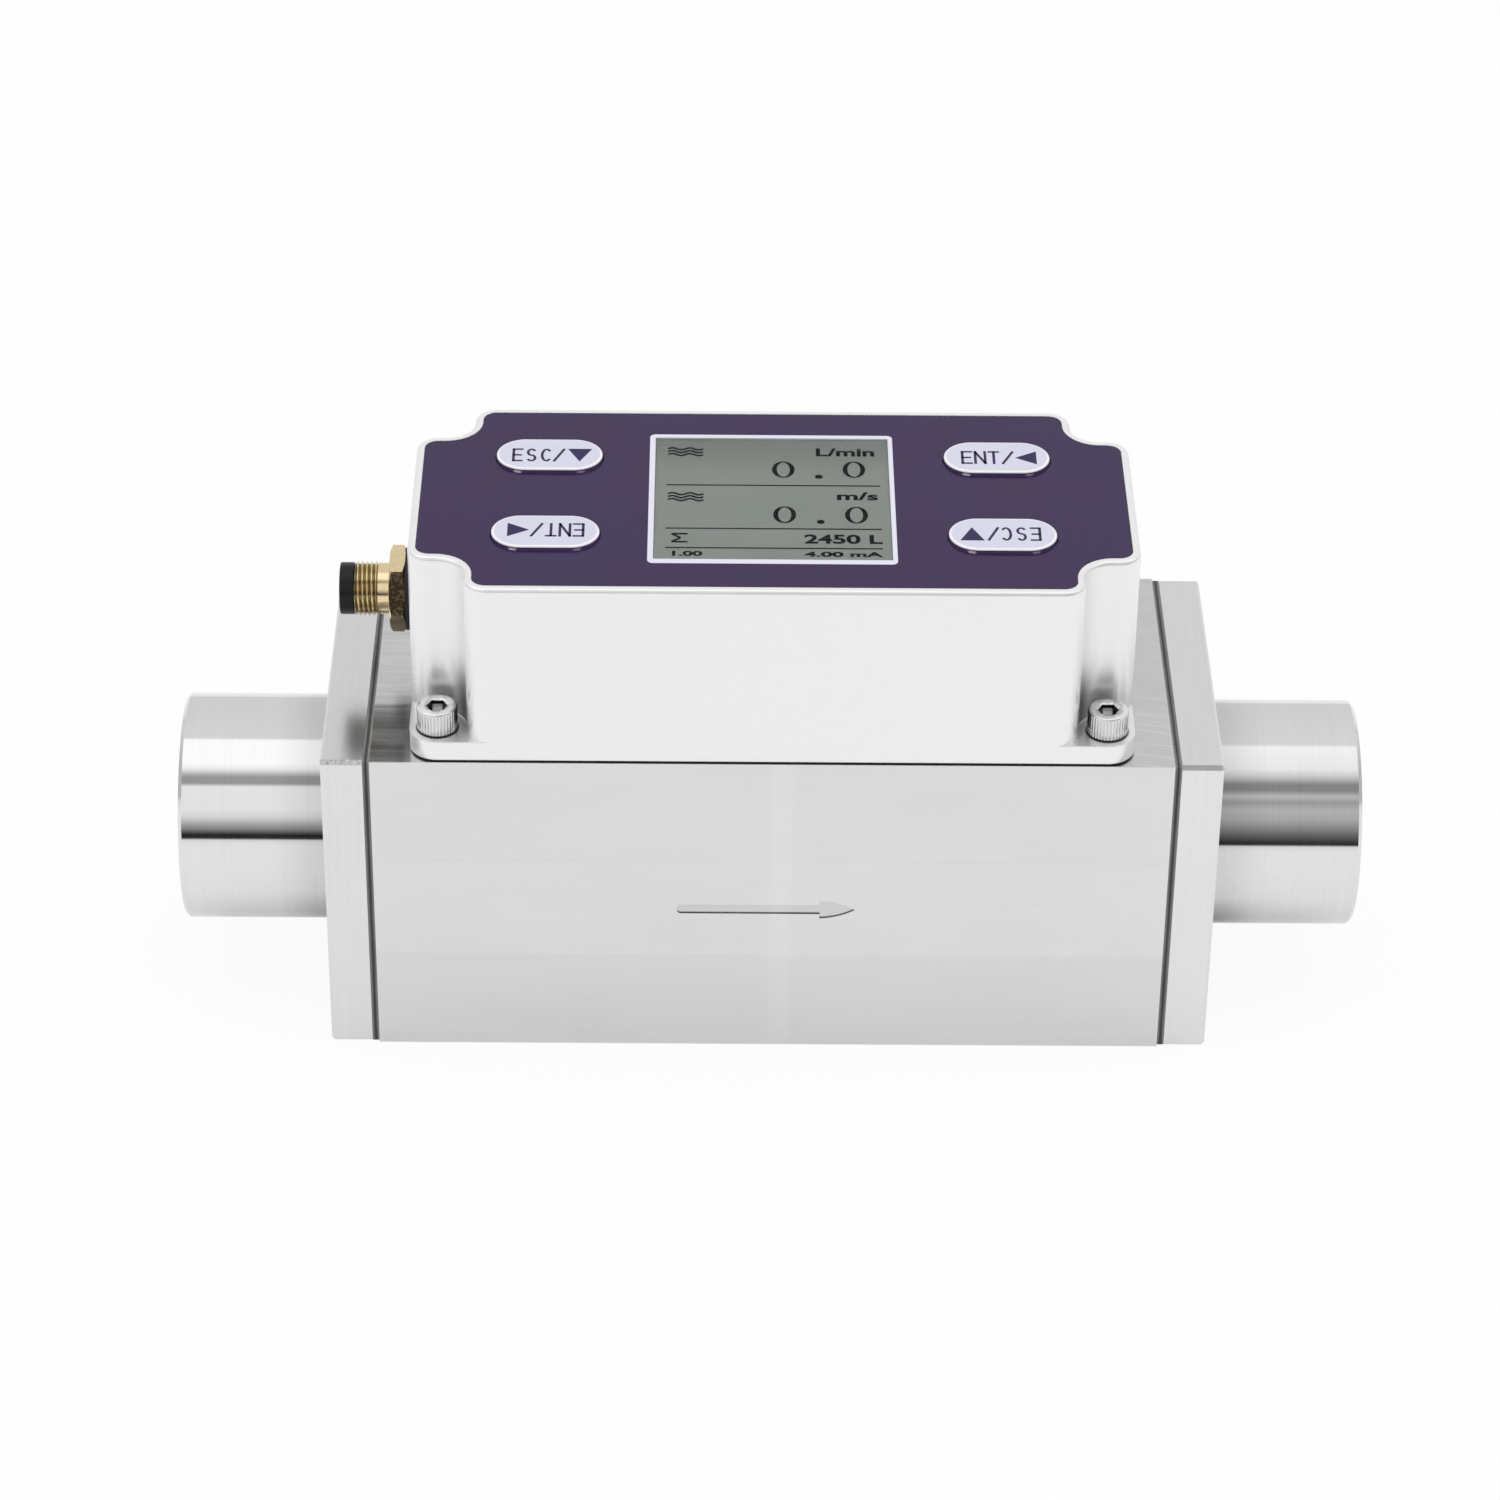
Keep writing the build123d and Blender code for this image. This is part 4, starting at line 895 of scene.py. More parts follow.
def makeKeyLavender():
    # Pale plastic with a painted white highlight on the rim, fainter behind: its distance from the pill's
    # outline is the length of (max(|x| - reach, 0), y) less the radius. The side has a painted dark shade
    # line under the face, the panel's purple below it, and two painted pale glints near the ends of its
    # straight front
    material, tree, shader, spot = startMaterial("keyLavender", Coat_Weight=0.2, Coat_Roughness=0.12)
    grain = useGroup(tree, fineGrain, Vector=spot, Size=0.4)
    cloud = useGroup(tree, cloudyTone, Vector=spot, Size=9.0)
    x, y, z = splitVector(tree, spot)
    y = minus(tree, y, keyLavender["middleY"])
    centreX, centreY = keyLavender["offMiddle"]
    x = straightLine(tree, calc(tree, "SIGN", x), -centreX, x)
    y = straightLine(tree, calc(tree, "SIGN", y), -centreY, y)
    beyond = minus(tree, absolute(tree, x), keyLavender["reach"])
    outline = calc(
        tree, "SUBTRACT", lengthOf(tree, calc(tree, "MAXIMUM", beyond, 0.0), y), keyLavender["radius"]
    )
    width = keyLavender["rimWidth"]
    face = tintTone(tree, keyLavender["face"], (grain["Tone"], 0.05), (cloud["Tone"], 0.05))
    # painted highlight on the rim, half as strong behind
    rimHighlight = calc(
        tree, "MAXIMUM",
        smoothRange(tree, outline, -width - 0.15, -width + 0.1),
        smoothRange(tree, z, keyLavender["edgeTop"], keyLavender["edgeTop"] - 0.1),
    )
    rimHighlight = product(tree, rimHighlight, smoothRange(tree, y, -2.0, 4.0, 1.0, 0.5))
    # painted glints near the ends of the side's straight front
    glints = 0.0
    for place, strength in keyLavender["glints"]:
        aside = absolute(tree, minus(tree, x, place))
        glints = calc(tree, "MAXIMUM", smoothRange(tree, aside, 0.4, 1.1, strength, 0.0), glints)
    glints = product(tree, glints, calc(tree, "LESS_THAN", y, 0.0))
    colour = mixColour(tree, rimHighlight, face, keyLavender["edge"])
    sideTop, footTop = keyLavender["sideTop"], keyLavender["footTop"]
    below = mixColour(tree, glints, keyLavender["foot"], keyLavender["glint"])
    # painted shade line on the side under the face, the panel's purple below it, with the painted glints
    side = mixColour(tree, smoothRange(tree, z, footTop - 0.1, footTop + 0.1), below, keyLavender["side"])
    colour = mixColour(tree, smoothRange(tree, z, sideTop - 0.06, sideTop + 0.06), side, colour)
    setLook(tree, shader, Base_Color=colour, Roughness=straightLine(tree, cloud["Tone"], 0.1, 0.34))
    setBump(tree, shader, grain["Height"], 0.003)
    return material


connectorAxis = (0.0, 0.0, 95.0)
materials = {
    "block_steel": makeBlockSteel(),
    "fitting_steel": makeFittingSteel(),
    "seam_rubber": makeSeamRubber(),
    "screen_steel": makeWovenSteel(),
    "straightener_grey": makeMoulded("straightenerGrey", (0.32, 0.33, 0.34), 0.5, 0.45),
    "carrier_dark": makeMoulded("carrierDark", (0.06, 0.055, 0.05), 0.25, 0.4),
    "case_silver": makeCaseSilver(),
    "screw_steel": makeScrewSteel(),
    "panel_purple": makePanelPurple(),
    "window_clear": makeWindowClear(),
    "display_grey": makeDisplayGrey(),
    "holder_white": makeMoulded("holderWhite", (0.74, 0.74, 0.72), 0.4, 0.42),
    "board_green": makeBoardGreen(),
    "chip_black": makeMoulded("chipBlack", (0.02, 0.02, 0.022), 0.15, 0.55, 0.01),
    "switch_black": makeMoulded("switchBlack", (0.028, 0.028, 0.03), 0.3, 0.4),
    "key_lavender": makeKeyLavender(),
    "capacitor_metal": makeStriped(
        "capacitorMetal", (0.70, 0.70, 0.72), (0.03, 0.03, 0.035), (1, 0, 0), 11.0, 0.25, Metallic=0.6
    ),
    "ribbon_white": makeStriped("ribbonWhite", (0.72, 0.72, 0.70), (0.5, 0.5, 0.5), (0, 1, 0), 1.0, 0.14),
    "brass": makeBrass(),
    "insert_black": makeMoulded("insertBlack", (0.010, 0.010, 0.010), 0.25, 0.36, Specular_IOR_Level=0.25),
    "contact_gold": makeTurnedMetal("contactGold", (0.92, 0.68, 0.30), connectorAxis, 0.3, 0.18),
    "lead_red": makeStriped("leadRed", (0.42, 0.03, 0.02), (0.30, 0.02, 0.015), (1, 0, 0), 2.5, 0.2),
}
print("materials made:", len(materials))

# Which finish each CAD node has
finishes = {
    "block_steel": ["body_block"],
    "fitting_steel": ["inlet_fitting", "outlet_fitting"],
    "seam_rubber": ["inlet_gasket", "outlet_gasket", "case_gasket", "sensor_oring", "connector_seal"],
    "screw_steel": ["inlet_bolts", "outlet_bolts", "case_screws", "sensor_screws", "board_screws"],
    "screen_steel": ["flow_screen", "spacer_ring"],
    "straightener_grey": ["flow_straightener"],
    "carrier_dark": ["sensor_carrier"],
    "board_green": ["sensor_board", "display_board", "main_board"],
    "chip_black": ["sensor_chip", "controller_chip", "power_inductor"],
    "case_silver": ["electronics_case"],
    "panel_purple": ["front_panel"],
    "window_clear": ["display_window"],
    "display_grey": ["lcd_cell"],
    "holder_white": ["lcd_holder", "backlight_panel", "sensor_socket", "output_socket"],
    "switch_black": ["key_switches", *[f"switch_plunger_{n}" for n in range(1, 5)]],
    "brass": ["board_spacers", "connector_shell", "connector_lock_nut"],
    "capacitor_metal": ["power_capacitors"],
    "ribbon_white": ["sensor_ribbon"],
    "lead_red": ["connector_leads"],
    "insert_black": ["connector_insert"],
    "contact_gold": ["connector_pins"],
    "key_lavender": [f"key_{n}" for n in range(1, 5)],
}
for slot, names in finishes.items():
    for name in names:
        mesh = nodes[name].data
        mesh.materials.clear()
        mesh.materials.append(materials[slot])
print("finishes given to", sum(map(len, finishes.values())), "nodes")


# Socket-head cap screws

capScrew = {
    "headRadius": 4.36,
    "endHeadHeight": 5.0,
    "caseHeadHeight": 5.7,
    "headEdge": 0.55,
    "teeth": 36,
    "toothDepth": 0.15,
    "socketAcross": 4.0,
    "socketMouth": 2.5,
    "socketDepth": 1.9,
    "shankRadius": 2.5,
    "shankLength": 16.0,
    "plainShank": 2.0,
    "pitch": 0.8,
    "threadDepth": 0.3,
}


def screwSurface(size, top, columns=144):
    # Rings from the tip up the thread, out under the head, up the toothed side, over the top edge
    # and down the hexagon socket; tooth radius = head radius - depth x (1 - cosine of 36 angles) / 2
    angle = np.arange(columns) * 2 * np.pi / columns
    even = np.ones(columns)
    head, shank = size["headRadius"], size["shankRadius"]
    side = head - size["toothDepth"] * (1 - np.cos(size["teeth"] * angle)) / 2
    socket = hexagonRadius(angle + np.pi / 6, size["socketAcross"])
    tip, edge = -size["shankLength"], size["headEdge"]
    threadHeights = np.arange(tip + 0.5, -size["plainShank"], size["pitch"] / 3)
    thread = [
        (h, shank - size["threadDepth"] * threadWave(h / size["pitch"] + angle / (2 * np.pi)))
        for h in threadHeights
    ]
    rings = [(tip, 0 * even), (tip, (shank - 0.6) * even), *thread]
    rings += [(-size["plainShank"] + 0.2, shank * even), (0.0, shank * even), (0.0, (head - 0.5) * even)]
    rings += [(0.3, side), (top - edge, side), (top - edge * 0.6, np.minimum(side, head - 0.1))]
    rings += [(top - edge * 0.25, (head - edge * 0.45) * even), (top, (head - edge) * even)]
    rings += [(top, (size["socketMouth"] + 0.05) * even), (top - 0.25, socket)]
    rings += [(top - size["socketDepth"], socket), (top - size["socketDepth"] - 0.8, 0 * even)]
    return turnedSurface([h for h, r in rings], [r for h, r in rings])


def standUp(surface, seat):
    # Local z stays up, with the head's seat at the given point
    points, faces = surface
    return points + np.array(seat), faces


def lieAlongX(surface, seat, way):
    # Local z goes to x, forwards or backwards
    points, faces = surface
    x, y, z = points.T
    return np.stack([way * z, x, y], 1) + np.array(seat), faces


def makeScrews():
    head = capScrew["headRadius"]
    one = screwSurface(capScrew, capScrew["caseHeadHeight"])
    low, high = boxOf("case_screws")
    lowX, lowY = low[:2] + head
    highX, highY = high[:2] - head
    seatHeight = high[2] - capScrew["caseHeadHeight"]
    corners = [(x, y, seatHeight) for x in (lowX, highX) for y in (lowY, highY)]
    makePiece(
        "caseScrews", joinSurfaces([standUp(one, corner) for corner in corners]),
        materials["screw_steel"], "housing", ["case_screws"],
    )
    one, height = screwSurface(capScrew, capScrew["endHeadHeight"]), capScrew["endHeadHeight"]
    for name, node, way in (("inletBolts", "inlet_bolts", -1), ("outletBolts", "outlet_bolts", 1)):
        low, high = boxOf(node)
        seat = high[0] - height if way > 0 else low[0] + height
        lowY, lowZ = low[1:] + head
        highY, highZ = high[1:] - head
        corners = [(seat, y, z) for y in (lowY, highY) for z in (lowZ, highZ)]
        makePiece(
            name, joinSurfaces([lieAlongX(one, corner, way) for corner in corners]),
            materials["screw_steel"], "housing", [node],
        )


makeScrews()
print("screws made")


# Cable connector: thread, neck, hexagon and shank, turned about the x axis

connectorShell = {
    "axisHeight": 95.0,
    "bore": 4.7,
    "tip": 90.6,
    "threadEnd": 85.3,
    "crest": 6.0,
    "root": 5.3,
    "pitch": 1.0,
    "neck": 5.6,
    "hexOuter": 82.7,
    "hexInner": 79.3,
    "acrossFlats": 16.7,
    "hexTurn": 35.0,
    "coneStart": 8.55,
    "coneSlope": 1.9,
    "innerEnd": 68.0,
}


def connectorSurface(size, columns=120):
    # Rings down the bore, over the tip, along the thread (crest - depth x triangle wave of the
    # helix), the neck, the hexagon cut by a cone at each end, and the shank back to the bore
    angle = np.arange(columns) * 2 * np.pi / columns
    turned = angle - math.radians(size["hexTurn"])
    even = np.ones(columns)
    depth = size["crest"] - size["root"]
    bore = size["bore"]

    def threadAt(height):
        return size["crest"] - depth * threadWave(height / size["pitch"] + angle / (2 * np.pi))

    tip, neck, hexOuter = size["tip"], size["neck"], size["hexOuter"]
    rings = [(size["innerEnd"], bore * even), (tip - 0.3, bore * even), (tip, (bore + 0.25) * even)]
    rings += [(tip, 5.2 * even)]
    for height in np.arange(tip - 0.25, size["threadEnd"] + 0.2, -size["pitch"] / 8):
        cone = 5.35 + 1.4 * (tip - height)
        rings.append((height, np.minimum(threadAt(height), cone)))
    rings += [(size["threadEnd"] + 0.1, size["root"] * even), (size["threadEnd"], neck * even)]
    rings += [(hexOuter + 0.25, neck * even), (hexOuter, (neck + 0.25) * even)]
    flats = hexagonRadius(turned, size["acrossFlats"])
    middle = (hexOuter + size["hexInner"]) / 2
    for height in np.linspace(hexOuter, size["hexInner"], 27):
        fromEnd = (hexOuter - size["hexInner"]) / 2 - abs(height - middle)
        rings.append((height, np.minimum(flats, size["coneStart"] + size["coneSlope"] * fromEnd)))
    rings += [(size["hexInner"], size["crest"] * even), (size["hexInner"] - 2.5, size["crest"] * even)]
    for height in np.arange(size["hexInner"] - 2.7, size["innerEnd"] + 0.5, -size["pitch"] / 4):
        rings.append((height, threadAt(height)))
    rings += [(size["innerEnd"], (size["root"] + 0.1) * even)]
    surface = turnedSurface([h for h, r in rings], [r for h, r in rings], closeRows=True)
    return lieAlongX(surface, (0.0, 0.0, size["axisHeight"]), -1)


makePiece(
    "connectorShell", connectorSurface(connectorShell),
    materials["brass"], "housing", ["connector_shell"], 28,
)
print("connector made")


# Pipe threads inside both bosses

pipeThread = {
    "axisHeight": 37.5,
    "mouth": 128.3,
    "inner": 109.6,
    "root": 20.90,
    "crest": 19.5,
    "wall": 20.945,
    "pitch": 2.309,
    "perTurn": 12,
}


def pipeThreadSurface(size, way, columns=120):
    # Inner radius = crest + (root - crest) x (half - half the cosine of the helix's turn), running
    # out to the root at both ends; the outer wall lies on the bore
    angle = np.arange(columns) * 2 * np.pi / columns
    heights = np.arange(size["inner"], size["mouth"], size["pitch"] / size["perTurn"])
    runOut = np.clip(np.minimum(heights - size["inner"], size["mouth"] - heights) / 1.3, 0, 1)
    turns = heights[:, None] / size["pitch"] + angle / (2 * np.pi)
    ridge = np.clip(0.5 + 0.75 * np.cos(2 * np.pi * turns), 0, 1) * runOut[:, None]
    inside = size["root"] - (size["root"] - size["crest"]) * ridge
    wall = np.full((1, columns), size["wall"])
    radii = np.concatenate([wall, inside, wall])
    allHeights = np.concatenate([heights[:1] - 0.05, heights, heights[-1:] + 0.05])
    surface = turnedSurface(allHeights, radii, closeRows=True)
    return lieAlongX(surface, (0.0, 0.0, size["axisHeight"]), way)


for name, way in (("inletThread", -1), ("outletThread", 1)):
    makePiece(
        name, pipeThreadSurface(pipeThread, way), materials["fitting_steel"], "housing",
    )
print("pipe threads made")


# Flat marks: strokes, discs, rings and triangles with a small thickness

def ribbon(points, width, low, high):
    # A path's points moved half the width to each side of its direction, at two heights
    path = np.asarray(points, float)
    along = np.gradient(path, axis=0)
    along /= np.linalg.norm(along, axis=1)[:, None]
    side = np.stack([-along[:, 1], along[:, 0]], 1) * width / 2
    corners = [(path + side, high), (path - side, high), (path - side, low), (path + side, low)]
    rows = np.stack([np.column_stack([xy, np.full(len(path), z)]) for xy, z in corners], 1)
    count = len(path)
    sides = gridFaces(count, 4, False, True)
    ends = np.array([[3, 2, 1, 0], [4 * count - 4, 4 * count - 3, 4 * count - 2, 4 * count - 1]])
    return rows.reshape(-1, 3), np.concatenate([sides, ends])


def flatRing(centre, outer, inner, low, high, columns=64):
    # Two ellipses of half-widths outer and inner, at two heights, joined all round
    angle = np.arange(columns) * 2 * np.pi / columns
    circle = np.stack([np.cos(angle), np.sin(angle)], 1)
    loops = [(outer, high), (inner, high), (inner, low), (outer, low)]
    centre = np.array(centre)
    rows = [np.column_stack([centre + circle * np.array(half), np.full(columns, z)]) for half, z in loops]
    return np.concatenate(rows), gridFaces(4, columns, True, True)


def flatDisc(centre, radius, low, high, columns=32):
    # A pole, a circle high and low, and a pole
    angle = np.arange(columns) * 2 * np.pi / columns
    circle = np.stack([np.cos(angle), np.sin(angle)], 1)
    loops = [(0.0, high), (radius, high), (radius, low), (0.0, low)]
    rows = [np.column_stack([np.array(centre) + circle * r, np.full(columns, z)]) for r, z in loops]
    return np.concatenate(rows), gridFaces(4, columns, False, True)


def triangle(corners, low, high):
    # Three corners and their middle, high and low
    corners = np.asarray(corners, float)
    middle = np.broadcast_to(corners.mean(0), corners.shape)
    loops = [(middle, high), (corners, high), (corners, low), (middle, low)]
    rows = [np.column_stack([xy, np.full(3, z)]) for xy, z in loops]
    return np.concatenate(rows), gridFaces(4, 3, False, True)


def arcPoints(centre, half, fromDegrees, toDegrees, count=18):
    # Points of an ellipse of those half-widths between two angles
    angle = np.radians(np.linspace(fromDegrees, toDegrees, count))
    return np.array(centre) + np.stack([np.cos(angle), np.sin(angle)], 1) * np.array(half)


def letterStrokes(letter):
    # A letter's strokes in a box from (0, 0) to (1, 1)
    if letter == "E":
        return [[(0, 0), (0, 1)], [(0, 1), (1, 1)], [(0, 0.5), (0.85, 0.5)], [(0, 0), (1, 0)]]
    if letter == "N":
        return [[(0, 0), (0, 1)], [(0, 1), (1, 0)], [(1, 0), (1, 1)]]
    if letter == "T":
        return [[(0, 1), (1, 1)], [(0.5, 1), (0.5, 0)]]
    if letter == "C":
        return [arcPoints((0.52, 0.5), (0.5, 0.5), 42, 318)]
    if letter == "S":
        upper = arcPoints((0.5, 0.74), (0.46, 0.26), 25, 270)
        lower = arcPoints((0.5, 0.24), (0.48, 0.24), 90, -155)
        return [np.concatenate([upper, lower[1:]])]
    return [[(0, 0), (1, 1)]]


def placedStrokes(letter, left, right, bottom, top, width, low, high):
    # The letter's strokes stretched to the box, less half a stroke all round
    corner = np.array([left + width / 2, bottom + width / 2])
    span = np.array([right - left - width, top - bottom - width])
    surfaces = []
    for stroke in letterStrokes(letter):
        path = corner + np.asarray(stroke, float) * span
        if len(path) == 2:
            along = (path[1] - path[0]) / np.linalg.norm(path[1] - path[0])
            path = np.array([path[0] - along * width / 2, path[1] + along * width / 2])
        surfaces.append(ribbon(path, width, low, high))
    return surfaces


# Keys: a pill with a lip under the panel, a round foot, and its legend on top

keyPill = {
    "length": 23.0,
    "width": 12.6,
    "lip": 1.0,
    "lipThickness": 0.8,
    "footRadius": 2.2,
    "footHeight": 0.3,
    "edgeRound": 0.35,
    "faceDrop": 0.05,
    "legendSink": 0.03,
    "legendRise": 0.03,
    "legendShift": {1: (0.0, -0.75), 2: (0.55, 0.57), 3: (0.0, -0.55), 4: (0.0, 0.14)},
}

keyLegends = {
    "stroke": 0.58,
    "bottom": -2.45,
    "top": 2.9,
    "escape": {
        "E": (-8.1, -5.75), "S": (-5.05, -2.8), "C": (-1.95, 0.55), "/": (0.75, 3.35), "mark": (3.95, 9.15),
    },
    "enter": {
        "E": (-7.75, -5.25), "N": (-4.95, -2.25), "T": (-1.9, 0.6), "/": (1.0, 3.75), "mark": (4.0, 8.6),
    },
}


def pillOutline(length, width, columns=96):
    # A stadium: half circles of radius width / 2 about the ends of a middle line, by angle
    angle = np.arange(columns) * 2 * np.pi / columns
    reach = (length - width) / 2
    centre = np.sign(np.round(np.cos(angle), 9)) * reach
    return np.stack([centre + np.cos(angle) * width / 2, np.sin(angle) * width / 2], 1)


def keySurface(size, centre, low, top):
    # Outlines from the foot's pole out under the lip, up the side, round the edge by a quarter
    # circle and in to the middle of the face
    columns = 96
    lip = pillOutline(size["length"] + 2 * size["lip"], size["width"] + 2 * size["lip"], columns)
    body = pillOutline(size["length"], size["width"], columns)
    angle = np.arange(columns) * 2 * np.pi / columns
    foot = np.stack([np.cos(angle), np.sin(angle)], 1) * size["footRadius"]
    lipLow = low + size["footHeight"]
    lipHigh = lipLow + size["lipThickness"]
    loops = [(foot * 0, low), (foot, low), (foot, lipLow), (lip, lipLow), (lip, lipHigh), (body, lipHigh)]
    rounding = size["edgeRound"]
    for turn in np.radians(np.linspace(0, 90, 7)):
        inset = rounding * (1 - math.cos(turn))
        outline = pillOutline(size["length"] - 2 * inset, size["width"] - 2 * inset, columns)
        loops.append((outline, top - rounding + rounding * math.sin(turn)))
    inner = pillOutline(size["length"] - 3 * rounding, size["width"] - 3 * rounding, columns)
    loops += [(inner, top), (inner * 0, top)]
    rows = [np.column_stack([xy + np.array(centre), np.full(columns, z)]) for xy, z in loops]
    return np.concatenate(rows), gridFaces(len(loops), columns, False, True)


def legendSurface(kind, centre, turned, low, high):
    # The legend's letters, slash and arrow mark, turned half round on the keys nearest the front
    surfaces = []
    bottom, top, stroke = keyLegends["bottom"], keyLegends["top"], keyLegends["stroke"]
    for letter, (left, right) in keyLegends[kind].items():
        if letter != "mark":
            surfaces += placedStrokes(letter, left, right, bottom, top, stroke, low, high)
        elif kind == "escape":
            point = ((left + right) / 2, bottom + 0.1)
            surfaces.append(triangle([(left, top), point, (right, top)], low, high))
        else:
            surfaces.append(triangle([(right, bottom), (left, (bottom + top) / 2), (right, top)], low, high))
    points, faces = joinSurfaces(surfaces)
    way = -1 if turned else 1
    return points * np.array([way, way, 1]) + np.array([*centre, 0.0]), faces


def makeKeys():
    kinds = ((1, "escape", False), (2, "enter", True), (3, "enter", False), (4, "escape", True))
    for number, kind, turned in kinds:
        node = f"key_{number}"
        low, high = boxOf(node)
        centre = (low[:2] + high[:2]) / 2
        face = high[2] - keyPill["faceDrop"]
        body = f"key_{number}"
        makePiece(
            f"keyPill{number}", keySurface(keyPill, centre, low[2], face),
            materials["key_lavender"], body, [node], 40,
        )
        middle = centre + np.array(keyPill["legendShift"][number])
        below, above = face - keyPill["legendSink"], face + keyPill["legendRise"]
        legend = legendSurface(kind, middle, turned, below, above)
        makePiece(f"keyLegend{number}", legend, legendInk, body)


legendInk = makeInk("legendInk", (0.055, 0.047, 0.11))
makeKeys()
print("keys made")


# Display: the cell under the window, and the marks that it shows

display = {
    "cellDrop": 0.05,
    "markRise": 0.02,
    "rules": (6.3, -11.4, -19.2),
    "ruleEnds": (-23.1, 23.0),
    "ruleWidth": 0.45,
    "thinStroke": 0.6,
    "zeroHalf": (2.45, 3.4),
    "zeroWall": (1.05, 0.42),
    "zeros": ((2.16, 12.93), (17.45, 13.09), (2.31, -5.68), (17.64, -5.69)),
    "dots": ((9.81, 10.03), (9.97, -8.51)),
    "dotRadius": 0.85,
    "waveLabels": ((-19.05, 20.18), (-18.9, 1.41)),
    "waveSize": (7.6, 3.6),
    "sumCentre": (-20.05, -15.26),
    "sumHalf": (1.7, 1.6),
}

# Words and numbers: text, how much bolder than Blender's letters, left, right, bottom, top
displayTexts = (
    ("L/min", 0.03, 9.3, 22.0, 18.6, 22.0),
    ("m/s", 0.03, 13.6, 22.4, 0.4, 3.7),
    ("2450 L", 0.03, 6.4, 23.0, -17.3, -13.6),
    ("1.00", 0.035, -21.6, -15.2, -22.5, -20.5),
    ("4.00 mA", 0.035, 6.3, 23.0, -22.5, -20.5),
)


def cellSurface():
    # A slab of the CAD cell's outline with its top just under the window; the edge is eased
    low, high = boxOf("lcd_cell")
    top = high[2] - display["cellDrop"]
    centre, half = (low[:2] + high[:2]) / 2, (high[:2] - low[:2]) / 2
    corners = np.array([(-1, -1), (1, -1), (1, 1), (-1, 1)])
    loops = [(0.0, low[2]), (1.0, low[2]), (1.0, top - 0.15), (1 - 0.15 / half[0], top), (0.0, top)]
    rows = [np.column_stack([centre + corners * half * share, np.full(4, z)]) for share, z in loops]
    return np.concatenate(rows), gridFaces(len(loops), 4, False, True)


def textSurface(text, bolder, left, right, bottom, top, low, high):
    # Blender's own letters made a mesh, then stretched to the box and given a thickness
    curve = bpy.data.curves.new("letters", "FONT")
    curve.body = text
    curve.extrude = 0.05
    curve.offset = bolder
    letters = bpy.data.objects.new("letters", curve)
    mesh = bpy.data.meshes.new_from_object(letters)
    points = np.zeros(len(mesh.vertices) * 3)
    mesh.vertices.foreach_get("co", points)
    points = points.reshape(-1, 3)
    mesh.calc_loop_triangles()
    faces = np.zeros(len(mesh.loop_triangles) * 3, int)
    mesh.loop_triangles.foreach_get("vertices", faces)
    bpy.data.meshes.remove(mesh)
    bpy.data.objects.remove(letters)
    lowest, highest = points.min(0), points.max(0)
    share = (points - lowest) / (highest - lowest)
    span = np.array([right - left, top - bottom, high - low])
    faces = faces.reshape(-1, 3)
    quads = np.column_stack([faces, faces[:, 2] + len(points)])  # the corner doubled is merged later
    placed = share * span + np.array([left, bottom, low])
    return np.concatenate([placed, placed]), quads


def makeDisplay():
    top = boxOf("lcd_cell")[1][2] - display["cellDrop"]
    bottom, above = top - 0.01, top + display["markRise"]
    makePiece("lcdCell", cellSurface(), materials["display_grey"], "housing", ["lcd_cell"])
    surfaces = []
    for y in display["rules"]:
        left, right = display["ruleEnds"]
        surfaces.append(ribbon([(left, y), (right, y)], display["ruleWidth"], bottom, above))
    half, wall = display["zeroHalf"], display["zeroWall"]
    inner = (half[0] - wall[0], half[1] - wall[1])
    surfaces += [flatRing(centre, half, inner, bottom, above) for centre in display["zeros"]]
    surfaces += [flatDisc(centre, display["dotRadius"], bottom, above) for centre in display["dots"]]
    length, height = display["waveSize"]
    for x, y in display["waveLabels"]:
        along = np.linspace(-length / 2, length / 2, 40)
        for row in (-1, 0, 1):
            wave = np.stack([x + along, y + row * height / 3 + 0.42 * np.sin(along * 4 * np.pi / length)], 1)
            surfaces.append(ribbon(wave, display["thinStroke"], bottom, above))
    x, y = display["sumCentre"]
    across, up = display["sumHalf"]
    sumStrokes = [[(1, 1), (-1, 1)], [(-1, 1), (0.1, 0)], [(0.1, 0), (-1, -1)], [(-1, -1), (1, -1)]]
    for stroke in sumStrokes:
        path = np.array([x, y]) + np.array(stroke) * np.array([across, up])
        surfaces.append(ribbon(path, display["thinStroke"], bottom, above))
    for row in displayTexts:
        surfaces.append(textSurface(*row, bottom, above))
    makePiece("displayMarks", joinSurfaces(surfaces), displayInk, "housing")


displayInk = makeInk("displayInk", (0.005, 0.006, 0.006))
makeDisplay()
print("display made")


# Studio: a pale floor, one soft lamp above, and an even room with a dark strip at the horizon

studio = {
    "floorHalf": 2500.0,
    "floorColour": 0.95,
    "floorShown": 0.93,
    "floorReflected": 0.41,
    "roomLevel": 0.6,
    "lampSize": (2.0, 0.83),
    "lampPlace": (0.0, -0.04, 1.4),
    "lampPower": 9.4,
    "sideLevel": 0.55,
    "leftBands": (
        (-180, 0.66), (-1.4, 0.9), (-1.0, 0.02), (4.2, 0.02), (7.2, 0.13), (10.4, 0.29),
        (15, 0.44), (22, 0.8), (30, 0.94), (53.5, 0.95), (56.2, 0.37), (64, 0.38),
        (67.3, 0.65), (71.5, 1.0), (77, 1.2), (105, 1.2), (107, 0.8), (180, 0.74),
    ),
    "rightBands": (
        (-180, 0.66), (-1.4, 0.9), (-1.0, 0.02), (1.8, 0.02), (11, 0.16), (26.5, 0.47),
        (36, 0.54), (44, 0.38), (50, 0.6), (56, 0.28), (62.6, 0.28), (71, 0.72),
        (79, 1.0), (105, 1.1), (107, 0.82), (180, 0.74),
    ),
}


